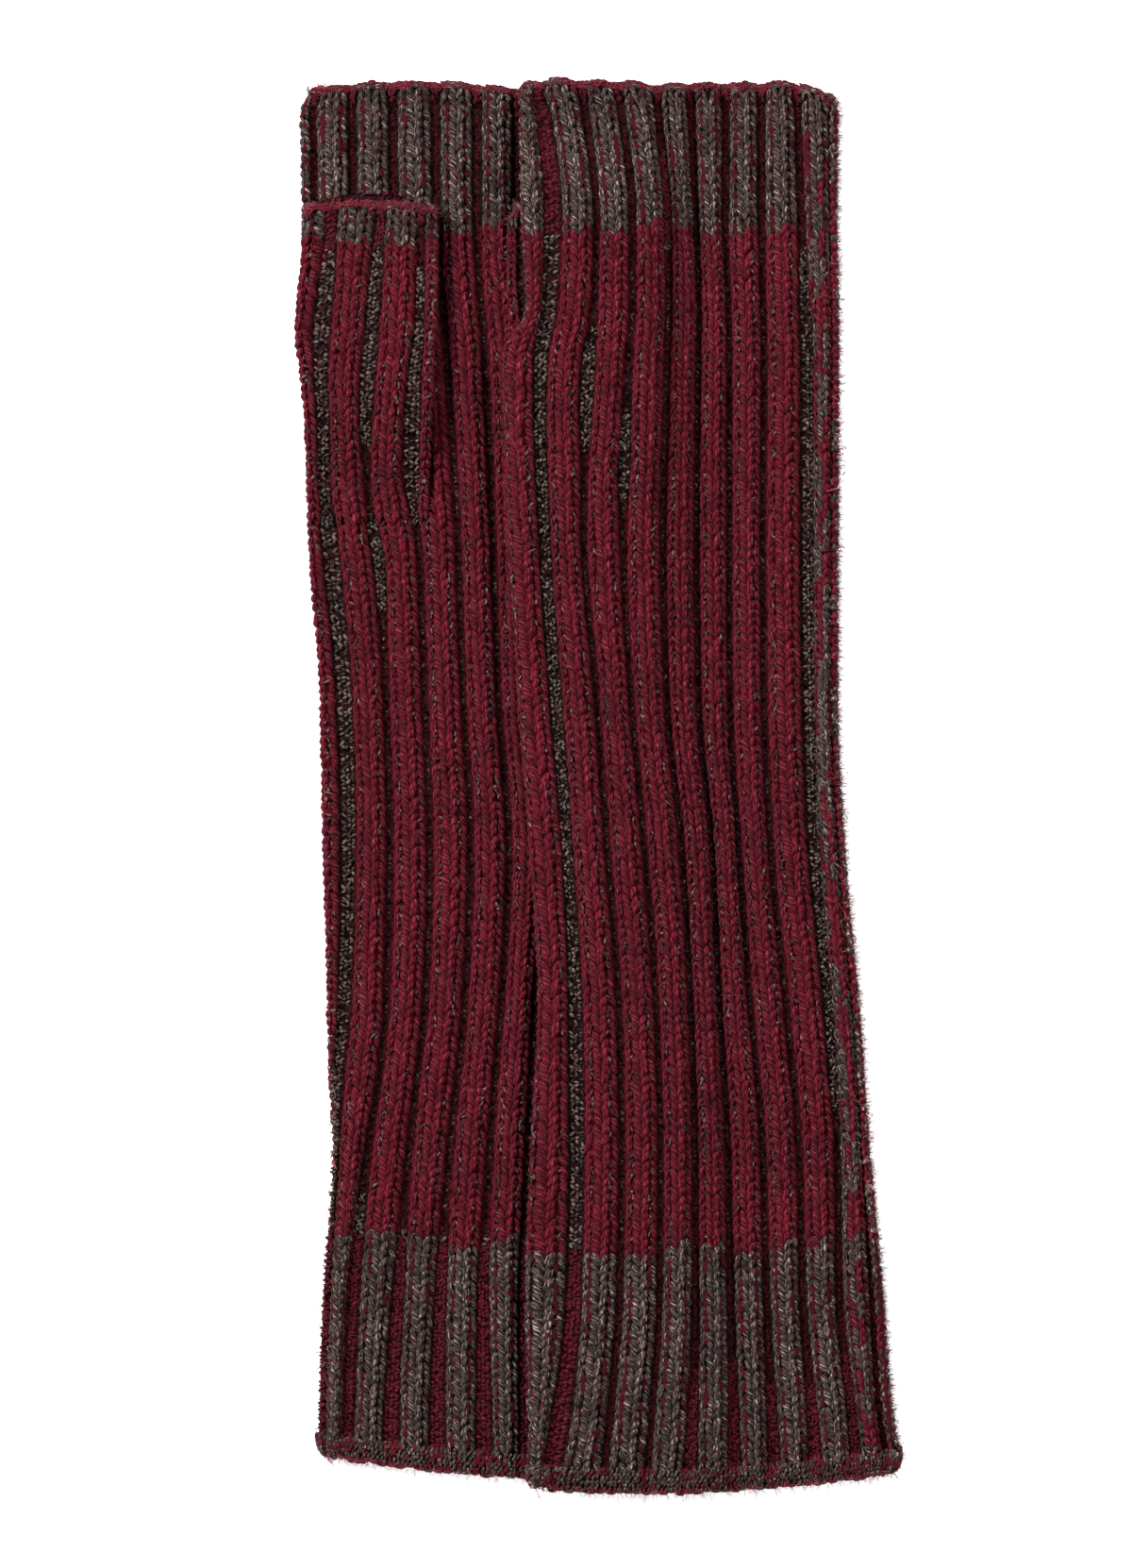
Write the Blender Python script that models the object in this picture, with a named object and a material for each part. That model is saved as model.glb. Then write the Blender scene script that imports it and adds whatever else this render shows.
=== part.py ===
"""A pair of knitted arm warmers laid flat, the right one lapped over the left one.

Each warmer is a ribbed tube, open at its hand rim (+Y) and at its forearm rim (-Y), with a
short thumb tube joined to a thumb hole. The left thumb is folded over its warmer's front.
The right thumb is folded behind its own warmer, so it lies between the two.

All lengths below are in millimetres. x runs to the right from the middle of the pair, s runs
down the warmers from the hand end, and z is the height above the table.
"""

import math
from collections import namedtuple

import bmesh
import bpy
import numpy as np

MM = 0.001  # one millimetre in Blender's metres

# Driving dimensions.
PAIR_LENGTH = 340.0  # hand rim to forearm rim
MIDDLE_X = -0.49  # x and s of the pair's middle, which is the part's origin
MIDDLE_S = 170.16
GAP = 0.3  # between pieces that touch, and along a seam
CORNER_REACH = 16.0  # how far from a fold the cloth gives way to a rounded corner
CORNER_INSET = 0.5  # how far a corner is drawn in at the rim, as a share of its length
FOLD_FRONT = 3.0  # radius of a side fold, on the front
FOLD_BACK = 2.2  # radius of a side fold, on the back
FOLD_POINTS = (0.3, 1.02)  # where the back has points near a side fold, as shares of that radius
INNER_TURN = 0.8  # how far inside the slit's edge the two walls are full apart
LAP_RUN = 22.0  # length over which the right warmer comes down off the left one
LAP_LEAD = 1.0  # how far before the left one's fold it starts to come down
TUCK_RUN = 16.0  # the same across its tucked thumb
TUCK_RISE = (9.0, 1.5)  # how far outside the thumb's left fold it starts to climb, and is up
TUCK_START = (12.0, 29.0)  # s over which the right warmer climbs on to its tucked thumb
TUCK_END = 120.0  # s at which it is down again, below the thumb's seam
THUMB_SEAM = 106.0  # s at which the thumbs' front is joined to the warmers
THUMB_TAPER = 84.0  # s from which the thumbs flatten towards the seam
THUMB_SLIT_END = 90.0  # s at which the slit in a thumb ends
THUMB_HOLE = (66.0, 88.0)  # s of the thumb hole
THUMB_HOLE_INSET = 4.6  # distance of the thumb hole from the thumb's side folds
SEAM_LIFT = 1.0  # what is left of a thumb's cloth at the seam, under its ribs
SEAM_RIB = 0.5  # and of its ribs
SEAM_DIP = 1.6  # how much lower the warmer's ribs lie under the seam
SEAM_DIP_ROWS = (78.0, 96.0, 106.0, 107.6)  # s at which that dip starts, is full, and ends
SEAM_DIP_SIDE = 2.5  # how far past the thumb's side folds it reaches
SEAM_DIP_RAMP = 1.5
LIP = 0.5  # how far the slit's edge stands out of a rim

# Thickness of the laid cloth: back wall, slit between the walls, front wall at a furrow's
# floor, height of a rib above that floor, and the wall at a side fold.
Cloth = namedtuple("Cloth", "back slit front rib side")
BODY_CLOTH = Cloth(back=1.8, slit=0.8, front=1.3, rib=2.5, side=1.9)
THUMB_CLOTH = Cloth(back=1.3, slit=0.8, front=1.2, rib=2.0, side=1.9)
TUCKED_CLOTH = Cloth(back=1.1, slit=0.8, front=1.0, rib=1.1, side=1.8)

# Rows worked at a rim: distance from the rim's edge, how far the crest lies lower there, and
# the share of the rib's relief that is left. They make a rolled rim with a groove behind it.
Rim = namedtuple("Rim", "distance drop relief")
BOUND_OFF_RIM = Rim((0.0, 1.2, 2.6, 4.4, 7.0), (1.1, 0.1, 0.0, 0.5, 0.0), (0.5, 0.5, 0.5, 1.0, 1.0))
CAST_ON_RIM = Rim((0.0, 1.6, 4.0, 5.8, 8.5), (1.3, 0.1, 0.0, 0.6, 0.0), (0.4, 0.4, 0.4, 1.0, 1.0))

# Relief across one rib: share of its width between the two furrows' floors, share of its height.
RIB_PROFILE = ((0.13, 0.66), (0.34, 1.0), (0.66, 1.0), (0.87, 0.66))
FOLD_RELIEF = 0.6  # relief of the outermost ribs at the side folds
NARROW_FURROW = 0.08  # half a furrow's floor, as a share of the way from furrow to furrow
WIDE_FURROW = 0.17

WINE = (0.25, 0.012, 0.034, 1.0)
GREY_MARL = (0.075, 0.072, 0.07, 1.0)
WOOL_ROUGHNESS = 0.92

# Where the side folds and the furrows run. One row for each section, x in each column.
LEFT_COLUMNS = "s edge_l f1 f2 f3 f4 f5 f6 f7 f8 f9 edge_r"
LEFT_LINES = (
    (0, -72.3, -69.6, -59.8, -50.1, -39.7, -29.7, -19.7, -10.2, -1.1, 4.4, 5.7),
    (37, -71.6, -68.7, -58.3, -49.2, -39.0, -29.5, -19.7, -10.2, -0.9, 4.6, 5.9),
    (68, -71.2, -67.8, -56.9, -46.9, -36.7, -27.2, -17.7, -8.4, 0.3, 5.4, 6.8),
    (108, -70.5, -66.2, -54.2, -43.8, -34.0, -25.6, -16.5, -7.5, 1.1, 6.3, 7.7),
    (149, -67.6, -63.2, -51.9, -42.6, -33.3, -24.7, -15.6, -6.6, 2.3, 7.6, 9.1),
    (185, -66.9, -61.2, -50.6, -40.8, -31.1, -22.0, -13.1, -4.1, 4.5, 9.3, 10.9),
    (222, -65.7, -62.3, -51.5, -41.9, -32.9, -23.8, -15.2, -5.7, 3.4, 11.0, 12.9),
    (258, -64.6, -63.2, -56.0, -46.0, -36.0, -26.3, -16.8, -7.0, 2.5, 12.0, 15.2),
    (294, -66.9, -65.6, -60.3, -48.7, -38.5, -28.3, -18.1, -7.9, 2.0, 12.2, 18.4),
    (321, -67.8, -66.5, -61.4, -51.0, -39.7, -28.6, -17.9, -7.3, 3.2, 13.4, 21.1),
    (340, -68.0, -66.7, -61.9, -52.1, -39.9, -28.8, -18.0, -7.1, 3.6, 13.9, 22.2),
)
RIGHT_COLUMNS = LEFT_COLUMNS
RIGHT_LINES = (
    (0, -19.5, -17.0, -4.8, 3.9, 13.1, 21.8, 30.4, 38.8, 46.9, 55.8, 58.3),
    (34, -19.0, -12.7, -0.7, 7.9, 16.3, 23.2, 30.3, 39.0, 48.2, 56.1, 57.4),
    (56, -17.9, -11.8, -1.4, 7.9, 16.5, 24.0, 31.1, 39.4, 48.7, 56.4, 57.8),
    (68, -23.6, -16.3, -2.7, 7.0, 16.1, 23.8, 31.3, 39.7, 49.4, 56.4, 57.8),
    (108, -22.2, -14.3, -3.9, 5.7, 15.2, 23.3, 31.3, 39.4, 49.0, 56.3, 57.7),
    (149, -19.7, -11.3, -1.1, 7.7, 16.1, 23.8, 31.5, 39.7, 49.4, 56.2, 57.6),
    (185, -17.0, -8.8, 1.8, 10.9, 19.7, 27.0, 33.6, 41.3, 51.0, 57.8, 59.2),
    (222, -15.0, -6.8, 4.3, 13.6, 21.8, 28.8, 36.3, 44.9, 54.9, 61.2, 62.6),
    (258, -16.8, -5.4, 5.4, 14.7, 22.9, 30.8, 39.4, 48.1, 57.1, 63.6, 65.3),
    (294, -17.9, -6.8, 4.5, 14.1, 22.7, 31.1, 40.1, 48.7, 57.6, 66.0, 68.7),
    (321, -17.2, -10.9, 2.0, 12.2, 22.0, 32.0, 41.3, 50.8, 60.3, 67.6, 71.0),
    (340, -17.5, -14.3, -1.1, 11.1, 21.1, 32.4, 42.2, 52.1, 62.1, 71.0, 74.8),
)
THUMB_COLUMNS = "s edge_l f1 f2 f3 edge_r"
LEFT_THUMB_LINES = (
    (30, -71.6, -64.6, -51.5, -41.6, -38.1),
    (40, -71.9, -65.3, -53.7, -42.4, -38.3),
    (50, -72.5, -66.4, -54.3, -41.9, -38.3),
    (61, -73.4, -67.3, -55.5, -42.8, -38.8),
    (68, -72.3, -68.0, -56.4, -43.3, -39.2),
    (76, -71.4, -67.6, -57.3, -45.3, -39.7),
    (88, -70.5, -66.6, -56.7, -46.5, -40.3),
    (95, -68.5, -66.2, -55.8, -46.2, -40.6),
    (106, -68.5, -66.2, -54.6, -44.6, -40.8),
)
RIGHT_THUMB_LINES = (
    (30, -20.9, -18.0, -9.0, 0.5, 8.0),
    (38, -22.2, -18.4, -9.0, 0.5, 8.0),
    (50, -22.4, -18.4, -9.0, 0.5, 8.0),
    (60, -21.6, -17.4, -8.5, 0.5, 8.0),
    (70, -20.0, -15.4, -7.5, 0.8, 8.0),
    (77, -17.8, -13.4, -6.0, 1.1, 8.0),
    (84, -15.5, -11.2, -5.0, 1.5, 8.0),
    (106, -15.5, -11.2, -5.0, 1.8, 8.0),
)

# Rims: s at the left fold, in the middle and at the right fold.
Rims = namedtuple("Rims", "hand far")
LEFT_RIMS = Rims((3.0, 0.4, 2.0), (331.5, 336.4, 338.0))
RIGHT_RIMS = Rims((1.2, 0.6, 1.8), (338.6, 339.7, 335.3))
THUMB_FRONT_RIM = (31.6, 30.2, 32.0)
THUMB_BACK_RIM = (31.2, 28.3, 31.6)

# Length of the rounded corners: hand left, hand right, far left, far right.
LEFT_CORNERS = (6.5, 3.0, 6.0, 4.0)
RIGHT_CORNERS = (3.0, 5.0, 3.0, 7.0)
THUMB_CORNERS = (3.2, 3.2, 0.0, 0.0)

# s of the sections between the rims' own rows.
LEFT_SECTIONS = (20, 37.5, 52, 66, 78, 84, 90, 96, 106, 107.6, 118, 132, 149, 185, 222, 258, 280,
                 300, 321)
RIGHT_SECTIONS = (12, 17, 23, 29, 38.5, 47, 55, 60, 64, 68, 76, 84, 91, 98, 106, 113, 120, 134, 149,
                  185, 222, 258, 281, 300, 321)
THUMB_SECTIONS = (41, 50, 57, 64, 71, 78, 84, 90, 96, 101)

# Where the slit's walls and the back have points, as rib coordinates.
LEFT_INNER = (1, 2, 3, 4, 5, 6, 7, 8, 9)
RIGHT_INNER = (1, 1.5, 2, 2.5, 3, 3.5, 4, 4.5, 5, 6, 7, 8, 9)
THUMB_INNER = (1, 1.5, 2, 2.5, 3)

# s where the two yarns swap places.
LEFT_BANDS = (37.5, 280.0)
RIGHT_BANDS = (38.5, 281.0)
THUMB_BAND = 41.0


def height(cloth):
    """Full height of the laid cloth, from its back to a rib's crest."""
    return cloth.back + cloth.slit + cloth.front + cloth.rib


def table(columns, rows):
    """A table's columns as arrays, by their names."""
    return {name: np.array(values, float) for name, values in zip(columns.split(), zip(*rows))}


def smooth(knots, values, at):
    """Monotone cubic through the knots, so that a line bends softly and never overshoots."""
    run = np.diff(knots)
    slope = np.diff(values) / run
    tangent = np.zeros(len(knots))
    tangent[0], tangent[-1] = slope[0], slope[-1]
    for i in range(1, len(knots) - 1):
        before, after = slope[i - 1], slope[i]
        if before * after > 0:
            tangent[i] = 2 * before * after / (before + after)
    i = int(np.clip(np.searchsorted(knots, at) - 1, 0, len(run) - 1))
    t = min(max((at - knots[i]) / run[i], 0.0), 1.0)
    hold = (1 + 2 * t) * (1 - t) ** 2
    return (values[i] * hold + values[i + 1] * (1 - hold)
            + run[i] * t * (1 - t) * (tangent[i] * (1 - t) - tangent[i + 1] * t))


def ease(t):
    """Smooth step from 0 to 1."""
    t = min(max(t, 0.0), 1.0)
    return t * t * (3 - 2 * t)


def rim_arc(ends, u):
    """s of a curved rim at the share u of its width."""
    left, middle, right = ends
    return left * (1 - u) * (1 - 2 * u) + middle * 4 * u * (1 - u) + right * u * (2 * u - 1)


def corner_inset(length, distance):
    """How far a rounded corner draws a side fold in, at a distance from the rim."""
    if distance >= length:
        return 0.0
    return CORNER_INSET * length * (1 - max(distance, 0.0) / length) ** 2


def fold_arch(radius, distance):
    """Share of the half thickness that a round side fold has, at a distance from its edge."""
    if distance >= radius:
        return 1.0
    return math.sqrt(1 - (1 - max(distance, 0.0) / radius) ** 2)


def place(x, s, z):
    """A point in Blender's metres, from the part's origin."""
    return ((x - MIDDLE_X) * MM, (MIDDLE_S - s) * MM, z * MM)


class Tube:
    """One knitted tube laid flat: its lines, rims and heights, and the mesh worked from them.

    floor is the height of its back, base that of a furrow's floor on its front, and rib the
    height of a rib above that. All three are functions of x and s.
    """

    def __init__(self, name, cloth, lines, front, back, heights, corners, wide, inner, far_open):
        self.name = name
        self.cloth = cloth
        self.lines = lines
        self.front = front
        self.back = back
        self.floor, self.base, self.rib = heights
        self.corners = corners
        self.wide = wide
        self.inner = inner
        self.far_open = far_open
        self.names = [column for column in lines if column != "s"]

    def crown(self):
        """Rib coordinate and relief of each front point, from the left fold to the right one.

        A whole rib coordinate is a line of the table: 0 is the left fold, 1 the first furrow.
        """
        last = len(self.names) - 1
        points = []
        for rib in range(last):
            start = rib + self.half_furrow(rib)
            end = rib + 1 - self.half_furrow(rib + 1)
            points.append((start, FOLD_RELIEF if rib == 0 else 0.0))
            points += [(start + share * (end - start), relief) for share, relief in RIB_PROFILE]
            points.append((end, FOLD_RELIEF if rib == last - 1 else 0.0))
        return points

    def half_furrow(self, line):
        """Half the width of a furrow's floor. The first and the last line are side folds."""
        if line in (0, len(self.names) - 1):
            return 0.0
        return WIDE_FURROW if line in self.wide else NARROW_FURROW

    def down(self, u, v, side):
        """s at the share u across and v along. side is 0 on the back and 1 on the front."""
        near = rim_arc(self.back.hand, u) * (1 - side) + rim_arc(self.front.hand, u) * side + LIP
        far = rim_arc(self.back.far, u) * (1 - side) + rim_arc(self.front.far, u) * side
        if self.far_open:
            far -= LIP
        return near + v * (far - near)

    def line_places(self, s):
        return [smooth(self.lines["s"], self.lines[name], s) for name in self.names]

    def width(self, v):
        places = self.line_places(self.down(0.5, v, 0))
        return places[-1] - places[0]

    def share(self, c, v):
        """The share of the width at which a rib coordinate lies."""
        places = self.line_places(self.down(0.5, v, 1))
        return (np.interp(c, range(len(places)), places) - places[0]) / (places[-1] - places[0])

    def settle(self, x, s, u, side):
        """x after the rounded corners, and its distance from the nearer side fold and rims."""
        places = self.line_places(s)
        near = s - self.down(u, 0.0, side)
        far = self.down(u, 1.0, side) - s
        hand_left, hand_right, far_left, far_right = self.corners
        left_in = max(corner_inset(hand_left, near), corner_inset(far_left, far))
        right_in = max(corner_inset(hand_right, near), corner_inset(far_right, far))
        give_left = max(0.0, 1 - (x - places[0]) / CORNER_REACH) ** 2
        give_right = max(0.0, 1 - (places[-1] - x) / CORNER_REACH) ** 2
        x += left_in * give_left - right_in * give_right
        to_fold = min(x - places[0] - left_in, places[-1] - right_in - x)
        return x, to_fold, near, far

    def worked_rim(self, near, far):
        """Drop and share of relief that the rims give at these distances from them."""
        drop = np.interp(near, BOUND_OFF_RIM.distance, BOUND_OFF_RIM.drop)
        relief = np.interp(near, BOUND_OFF_RIM.distance, BOUND_OFF_RIM.relief)
        if self.far_open:
            drop += np.interp(far, CAST_ON_RIM.distance, CAST_ON_RIM.drop)
            relief *= np.interp(far, CAST_ON_RIM.distance, CAST_ON_RIM.relief)
        return drop, relief

    def middle(self, x, s):
        """Height of a side fold's edge."""
        return (self.floor(x, s) + self.base(x, s) + self.rib(x, s)) / 2

    def turn(self, u, v, radius):
        """0 at the edge of a side fold and 1 where its curve has ended."""
        return fold_arch(radius, min(u, 1 - u) * self.width(v))

    def front_point(self, c, relief, v):
        """A point of the ribbed front."""
        u = self.share(c, v)
        side = 0.5 + 0.5 * self.turn(u, v, FOLD_FRONT)
        s = self.down(u, v, side)
        x = np.interp(c, range(len(self.names)), self.line_places(s))
        x, to_fold, near, far = self.settle(x, s, u, side)
        drop, kept = self.worked_rim(near, far)
        rib = self.rib(x, s)
        top = self.base(x, s) + rib - drop - rib * (1 - relief) * kept
        middle = self.middle(x, s)
        return x, s, middle + (top - middle) * fold_arch(FOLD_FRONT, to_fold)

    def back_point(self, u, v):
        """A point of the plain back, flat but for the side folds."""
        side = 0.5 - 0.5 * self.turn(u, v, FOLD_BACK)
        s = self.down(u, v, side)
        places = self.line_places(s)
        x, to_fold, _, _ = self.settle(places[0] + u * (places[-1] - places[0]), s, u, side)
        floor = self.floor(x, s)
        arch = fold_arch(FOLD_BACK, to_fold)
        return x, s, floor if arch >= 1.0 else self.middle(x, s) * (1 - arch) + floor * arch

    def inner_point(self, u, v, side, lip):
        """A point of the plain inside: 1 on the front wall, 0 on the back wall, 0.5 at a fold."""
        s = self.down(u, v, side)
        places = self.line_places(s)
        x, _, _, _ = self.settle(places[0] + u * (places[-1] - places[0]), s, u, side)
        above = self.base(x, s) - self.cloth.front
        below = self.floor(x, s) + self.cloth.back
        return x, s + lip, above * side + below * (1 - side)

    def inner_shares(self, v):
        """Shares of the width under the furrows, and between some of them, clear of the folds."""
        clear = (self.cloth.side + 2 * INNER_TURN) / self.width(v)
        return [min(max(self.share(c, v), clear), 1 - clear) for c in self.inner]

    def outer_loop(self, v):
        """Front from the left fold to the right one, then the back from right to left."""
        fold = [share * FOLD_BACK / self.width(v) for share in FOLD_POINTS]
        shares = fold + self.inner_shares(v) + [1 - share for share in reversed(fold)]
        front = [self.front_point(c, relief, v) for c, relief in self.crown()]
        return front, [self.back_point(u, v) for u in reversed(shares)]

    def inner_loop(self, v, lip):
        """The slit's front wall from left to right, then its back wall from right to left."""
        edge = self.cloth.side / self.width(v)
        turned = (self.cloth.side + INNER_TURN) / self.width(v)
        shares = [turned] + self.inner_shares(v) + [1 - turned]
        front = ([self.inner_point(edge, v, 0.5, lip)]
                 + [self.inner_point(u, v, 1, lip) for u in shares]
                 + [self.inner_point(1 - edge, v, 0.5, lip)])
        return front, [self.inner_point(u, v, 0, lip) for u in reversed(shares)]


def lay_loop(mesh, loop):
    """The loop's points as vertices: its front and its back, both in the loop's order."""
    return [[mesh.verts.new(place(*point)) for point in side] for side in loop]


def skin(mesh, first, second, material):
    """Quads between two loops of as many vertices."""
    first, second = sum(first, []), sum(second, [])
    for i in range(len(first)):
        j = (i + 1) % len(first)
        face = mesh.faces.new((first[i], first[j], second[j], second[i]))
        face.material_index = material
        face.smooth = True


def strip(mesh, first, second, material):
    """A strip of triangles between two chains, which takes the shorter diagonal each time."""
    i = j = 0
    while i < len(first) - 1 or j < len(second) - 1:
        here, across = first[i], second[j]
        forward = i < len(first) - 1
        if forward and j < len(second) - 1:
            forward = (first[i + 1].co - across.co).length <= (second[j + 1].co - here.co).length
        if forward:
            corners = {here, first[i + 1], across}
            i += 1
        else:
            corners = {here, second[j + 1], across}
            j += 1
        if len(corners) == 3:
            mesh.faces.new(sorted(corners, key=lambda vert: vert.index)).material_index = material


def close_end(mesh, loop, material):
    """Closes one loop by a strip between its front and its back."""
    front, back = loop
    strip(mesh, front, [front[0]] + back[::-1] + [front[-1]], material)


def close_rim(mesh, outer, inner, material):
    """The rim between an outer and an inner loop: its front, then its back."""
    strip(mesh, outer[0], inner[0], material)
    chains = [[front[-1]] + back + [front[0]] for front, back in (outer, inner)]
    strip(mesh, *chains, material)


def yarn(name, colour):
    """Matt wool in one colour."""
    material = bpy.data.materials.new(name)
    material.use_nodes = True
    shader = material.node_tree.nodes["Principled BSDF"]
    shader.inputs["Base Color"].default_value = colour
    shader.inputs["Roughness"].default_value = WOOL_ROUGHNESS
    shader.inputs["Metallic"].default_value = 0.0
    return material


def add_object(name, mesh):
    """The finished mesh as an object, its faces turned outwards."""
    bmesh.ops.recalc_face_normals(mesh, faces=mesh.faces)
    data = bpy.data.meshes.new(name)
    mesh.to_mesh(data)
    mesh.free()
    thing = bpy.data.objects.new(name, data)
    bpy.context.scene.collection.objects.link(thing)
    return thing


def knit(tube, shares, slit_shares, banded):
    """The tube as one closed solid: ribbed outside, plain inside, open at its rims."""
    mesh = bmesh.new()
    outer = [lay_loop(mesh, tube.outer_loop(v)) for v in shares]
    lips = [0.0] * len(slit_shares)
    lips[0] = -LIP
    if tube.far_open:
        lips[-1] = LIP
    inner = [lay_loop(mesh, tube.inner_loop(v, lip)) for v, lip in zip(slit_shares, lips)]
    mesh.verts.index_update()
    for here, following, v, w in zip(outer, outer[1:], shares, shares[1:]):
        skin(mesh, here, following, int(banded((v + w) / 2)))
    for here, following in zip(inner, inner[1:]):
        skin(mesh, here, following, 0)
    close_rim(mesh, outer[0], inner[0], 0)
    if tube.far_open:
        close_rim(mesh, outer[-1], inner[-1], 0)
    else:
        close_end(mesh, outer[-1], 0)
        close_end(mesh, inner[-1], 0)
    thing = add_object(tube.name, mesh)
    thing.data.materials.append(yarn(tube.name + "_wine", WINE))
    thing.data.materials.append(yarn(tube.name + "_grey", GREY_MARL))
    return thing


def thumb_hole_cutter(name, left, right, low, high):
    """A block between two heights, given as functions, that cuts the thumb hole."""
    steps = 6
    xs = np.linspace(left, right, steps)
    ss = np.linspace(*THUMB_HOLE, steps)
    mesh = bmesh.new()
    layers = [[[mesh.verts.new(place(x, s, at(x, s))) for x in xs] for s in ss] for at in (low, high)]
    for grid in layers:
        for row, below in zip(grid, grid[1:]):
            for i in range(steps - 1):
                mesh.faces.new((row[i], row[i + 1], below[i + 1], below[i]))
    edge = ([(0, i) for i in range(steps)] + [(i, steps - 1) for i in range(1, steps)]
            + [(steps - 1, i) for i in range(steps - 2, -1, -1)]
            + [(i, 0) for i in range(steps - 2, 0, -1)])
    for (a, b), (c, d) in zip(edge, edge[1:] + edge[:1]):
        mesh.faces.new((layers[0][a][b], layers[0][c][d], layers[1][c][d], layers[1][a][b]))
    cutter = add_object(name, mesh)
    cutter.hide_render = True
    cutter.display_type = "WIRE"
    return cutter


def cut_thumb_hole(things, cutter):
    for thing in things:
        hole = thing.modifiers.new("thumb_hole", "BOOLEAN")
        hole.operation = "DIFFERENCE"
        hole.object = cutter


LEFT_TABLE = table(LEFT_COLUMNS, LEFT_LINES)
RIGHT_TABLE = table(RIGHT_COLUMNS, RIGHT_LINES)
LEFT_THUMB_TABLE = table(THUMB_COLUMNS, LEFT_THUMB_LINES)
RIGHT_THUMB_TABLE = table(THUMB_COLUMNS, RIGHT_THUMB_LINES)

LEFT_HEIGHT = height(BODY_CLOTH)


def two_walls(cloth):
    """Height of the two walls and the slit between them, without the ribs."""
    return cloth.back + cloth.slit + cloth.front


def side_folds(lines, s):
    """x of a table's two side folds."""
    return [smooth(lines["s"], lines[name], s) for name in ("edge_l", "edge_r")]


def seam_dip(x, s):
    """0 to 1: how far the left warmer's ribs give way under the end of its thumb."""
    start, full, end, gone = SEAM_DIP_ROWS
    left, right = side_folds(LEFT_THUMB_TABLE, s)
    across = (ease((x - left + SEAM_DIP_SIDE) / SEAM_DIP_RAMP)
              * ease((right + SEAM_DIP_SIDE - x) / SEAM_DIP_RAMP))
    return across * ease((s - start) / (full - start)) * (1 - ease((s - end) / (gone - end)))


def table_top(x, s):
    return 0.0


def left_base(x, s):
    return two_walls(BODY_CLOTH)


def left_rib(x, s):
    return BODY_CLOTH.rib - SEAM_DIP * seam_dip(x, s)


def left_thumb_floor(x, s):
    """The left thumb lies on the crests of its warmer's ribs."""
    start, full = SEAM_DIP_ROWS[:2]
    return LEFT_HEIGHT + GAP - SEAM_DIP * ease((s - start) / (full - start))


def thumb_taper(s):
    """1 along the thumb, going to 0 at its seam."""
    return 1 - ease((s - THUMB_TAPER) / (THUMB_SEAM - GAP - THUMB_TAPER))


def thumb_lift(cloth, s):
    return SEAM_LIFT + (two_walls(cloth) - SEAM_LIFT) * thumb_taper(s)


def thumb_rib(cloth, s):
    return SEAM_RIB + (cloth.rib - SEAM_RIB) * thumb_taper(s)


def left_thumb_base(x, s):
    return left_thumb_floor(x, s) + thumb_lift(THUMB_CLOTH, s)


def over_left(x, s):
    """Height of what lies on the left warmer and comes down to the table past its right fold."""
    fold = side_folds(LEFT_TABLE, s)[1]
    return (LEFT_HEIGHT + GAP) * (1 - ease((x - fold + LAP_LEAD) / LAP_RUN))


def right_thumb_base(x, s):
    return over_left(x, s) + thumb_lift(TUCKED_CLOTH, s)


def right_floor(x, s):
    """The right warmer lies on the left one, on its own tucked thumb and on the table."""
    left, right = side_folds(RIGHT_THUMB_TABLE, s)
    start, up = TUCK_RISE
    across = ease((x - left + start) / (start - up)) * ease((right + TUCK_RUN - x) / TUCK_RUN)
    along = ease((s - TUCK_START[0]) / (TUCK_START[1] - TUCK_START[0]))
    along *= 1 - ease((s - THUMB_SEAM) / (TUCK_END - THUMB_SEAM))
    rise = thumb_lift(TUCKED_CLOTH, s) + thumb_rib(TUCKED_CLOTH, s) + GAP
    return over_left(x, s) + rise * across * along


def right_base(x, s):
    return right_floor(x, s) + two_walls(BODY_CLOTH)


def full_rib(x, s):
    return BODY_CLOTH.rib


def mid_slit(floor, base, cloth):
    """Height half way between the two walls."""
    return lambda x, s: (floor(x, s) + cloth.back + base(x, s) - cloth.front) / 2


def body_shares(sections):
    """Shares of a body's length: both rims' worked rows and the sections between them."""
    near = [distance / PAIR_LENGTH for distance in BOUND_OFF_RIM.distance]
    far = [1 - distance / PAIR_LENGTH for distance in reversed(CAST_ON_RIM.distance)]
    between = [s / PAIR_LENGTH for s in sections]
    return near + between + far


def thumb_shares(end):
    """Shares of a thumb's length: its rim's worked rows and the sections down to an end."""
    start = THUMB_FRONT_RIM[1] + LIP
    length = THUMB_SEAM - GAP - start
    rim = [distance / length for distance in BOUND_OFF_RIM.distance]
    return rim + [(s - start) / length for s in THUMB_SECTIONS if s < end] + [(end - start) / length]


def build_body(name, lines, rims, heights, corners, wide, inner, sections, bands):
    tube = Tube(name, BODY_CLOTH, lines, rims, rims, heights, corners, wide, inner, far_open=True)
    shares = body_shares(sections)
    return knit(tube, shares, shares, lambda v: not bands[0] < v * PAIR_LENGTH < bands[1])


def build_thumb(name, cloth, lines, floor, base, wide):
    end = THUMB_SEAM - GAP
    front, back = (Rims(rim, (end,) * 3) for rim in (THUMB_FRONT_RIM, THUMB_BACK_RIM))
    heights = (floor, base, lambda x, s: thumb_rib(cloth, s))
    tube = Tube(name, cloth, lines, front, back, heights, THUMB_CORNERS, wide, THUMB_INNER,
                far_open=False)
    shares = thumb_shares(end)
    band = (THUMB_BAND - THUMB_FRONT_RIM[1]) / (end - THUMB_FRONT_RIM[1])
    return knit(tube, shares, thumb_shares(THUMB_SLIT_END), lambda v: v < band)


def hole_sides(lines):
    """x of the thumb hole's two sides."""
    left, right = side_folds(lines, THUMB_HOLE[1])
    return left + THUMB_HOLE_INSET, right - THUMB_HOLE_INSET


def clear_scene():
    for thing in list(bpy.data.objects):
        bpy.data.objects.remove(thing, do_unlink=True)


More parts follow.
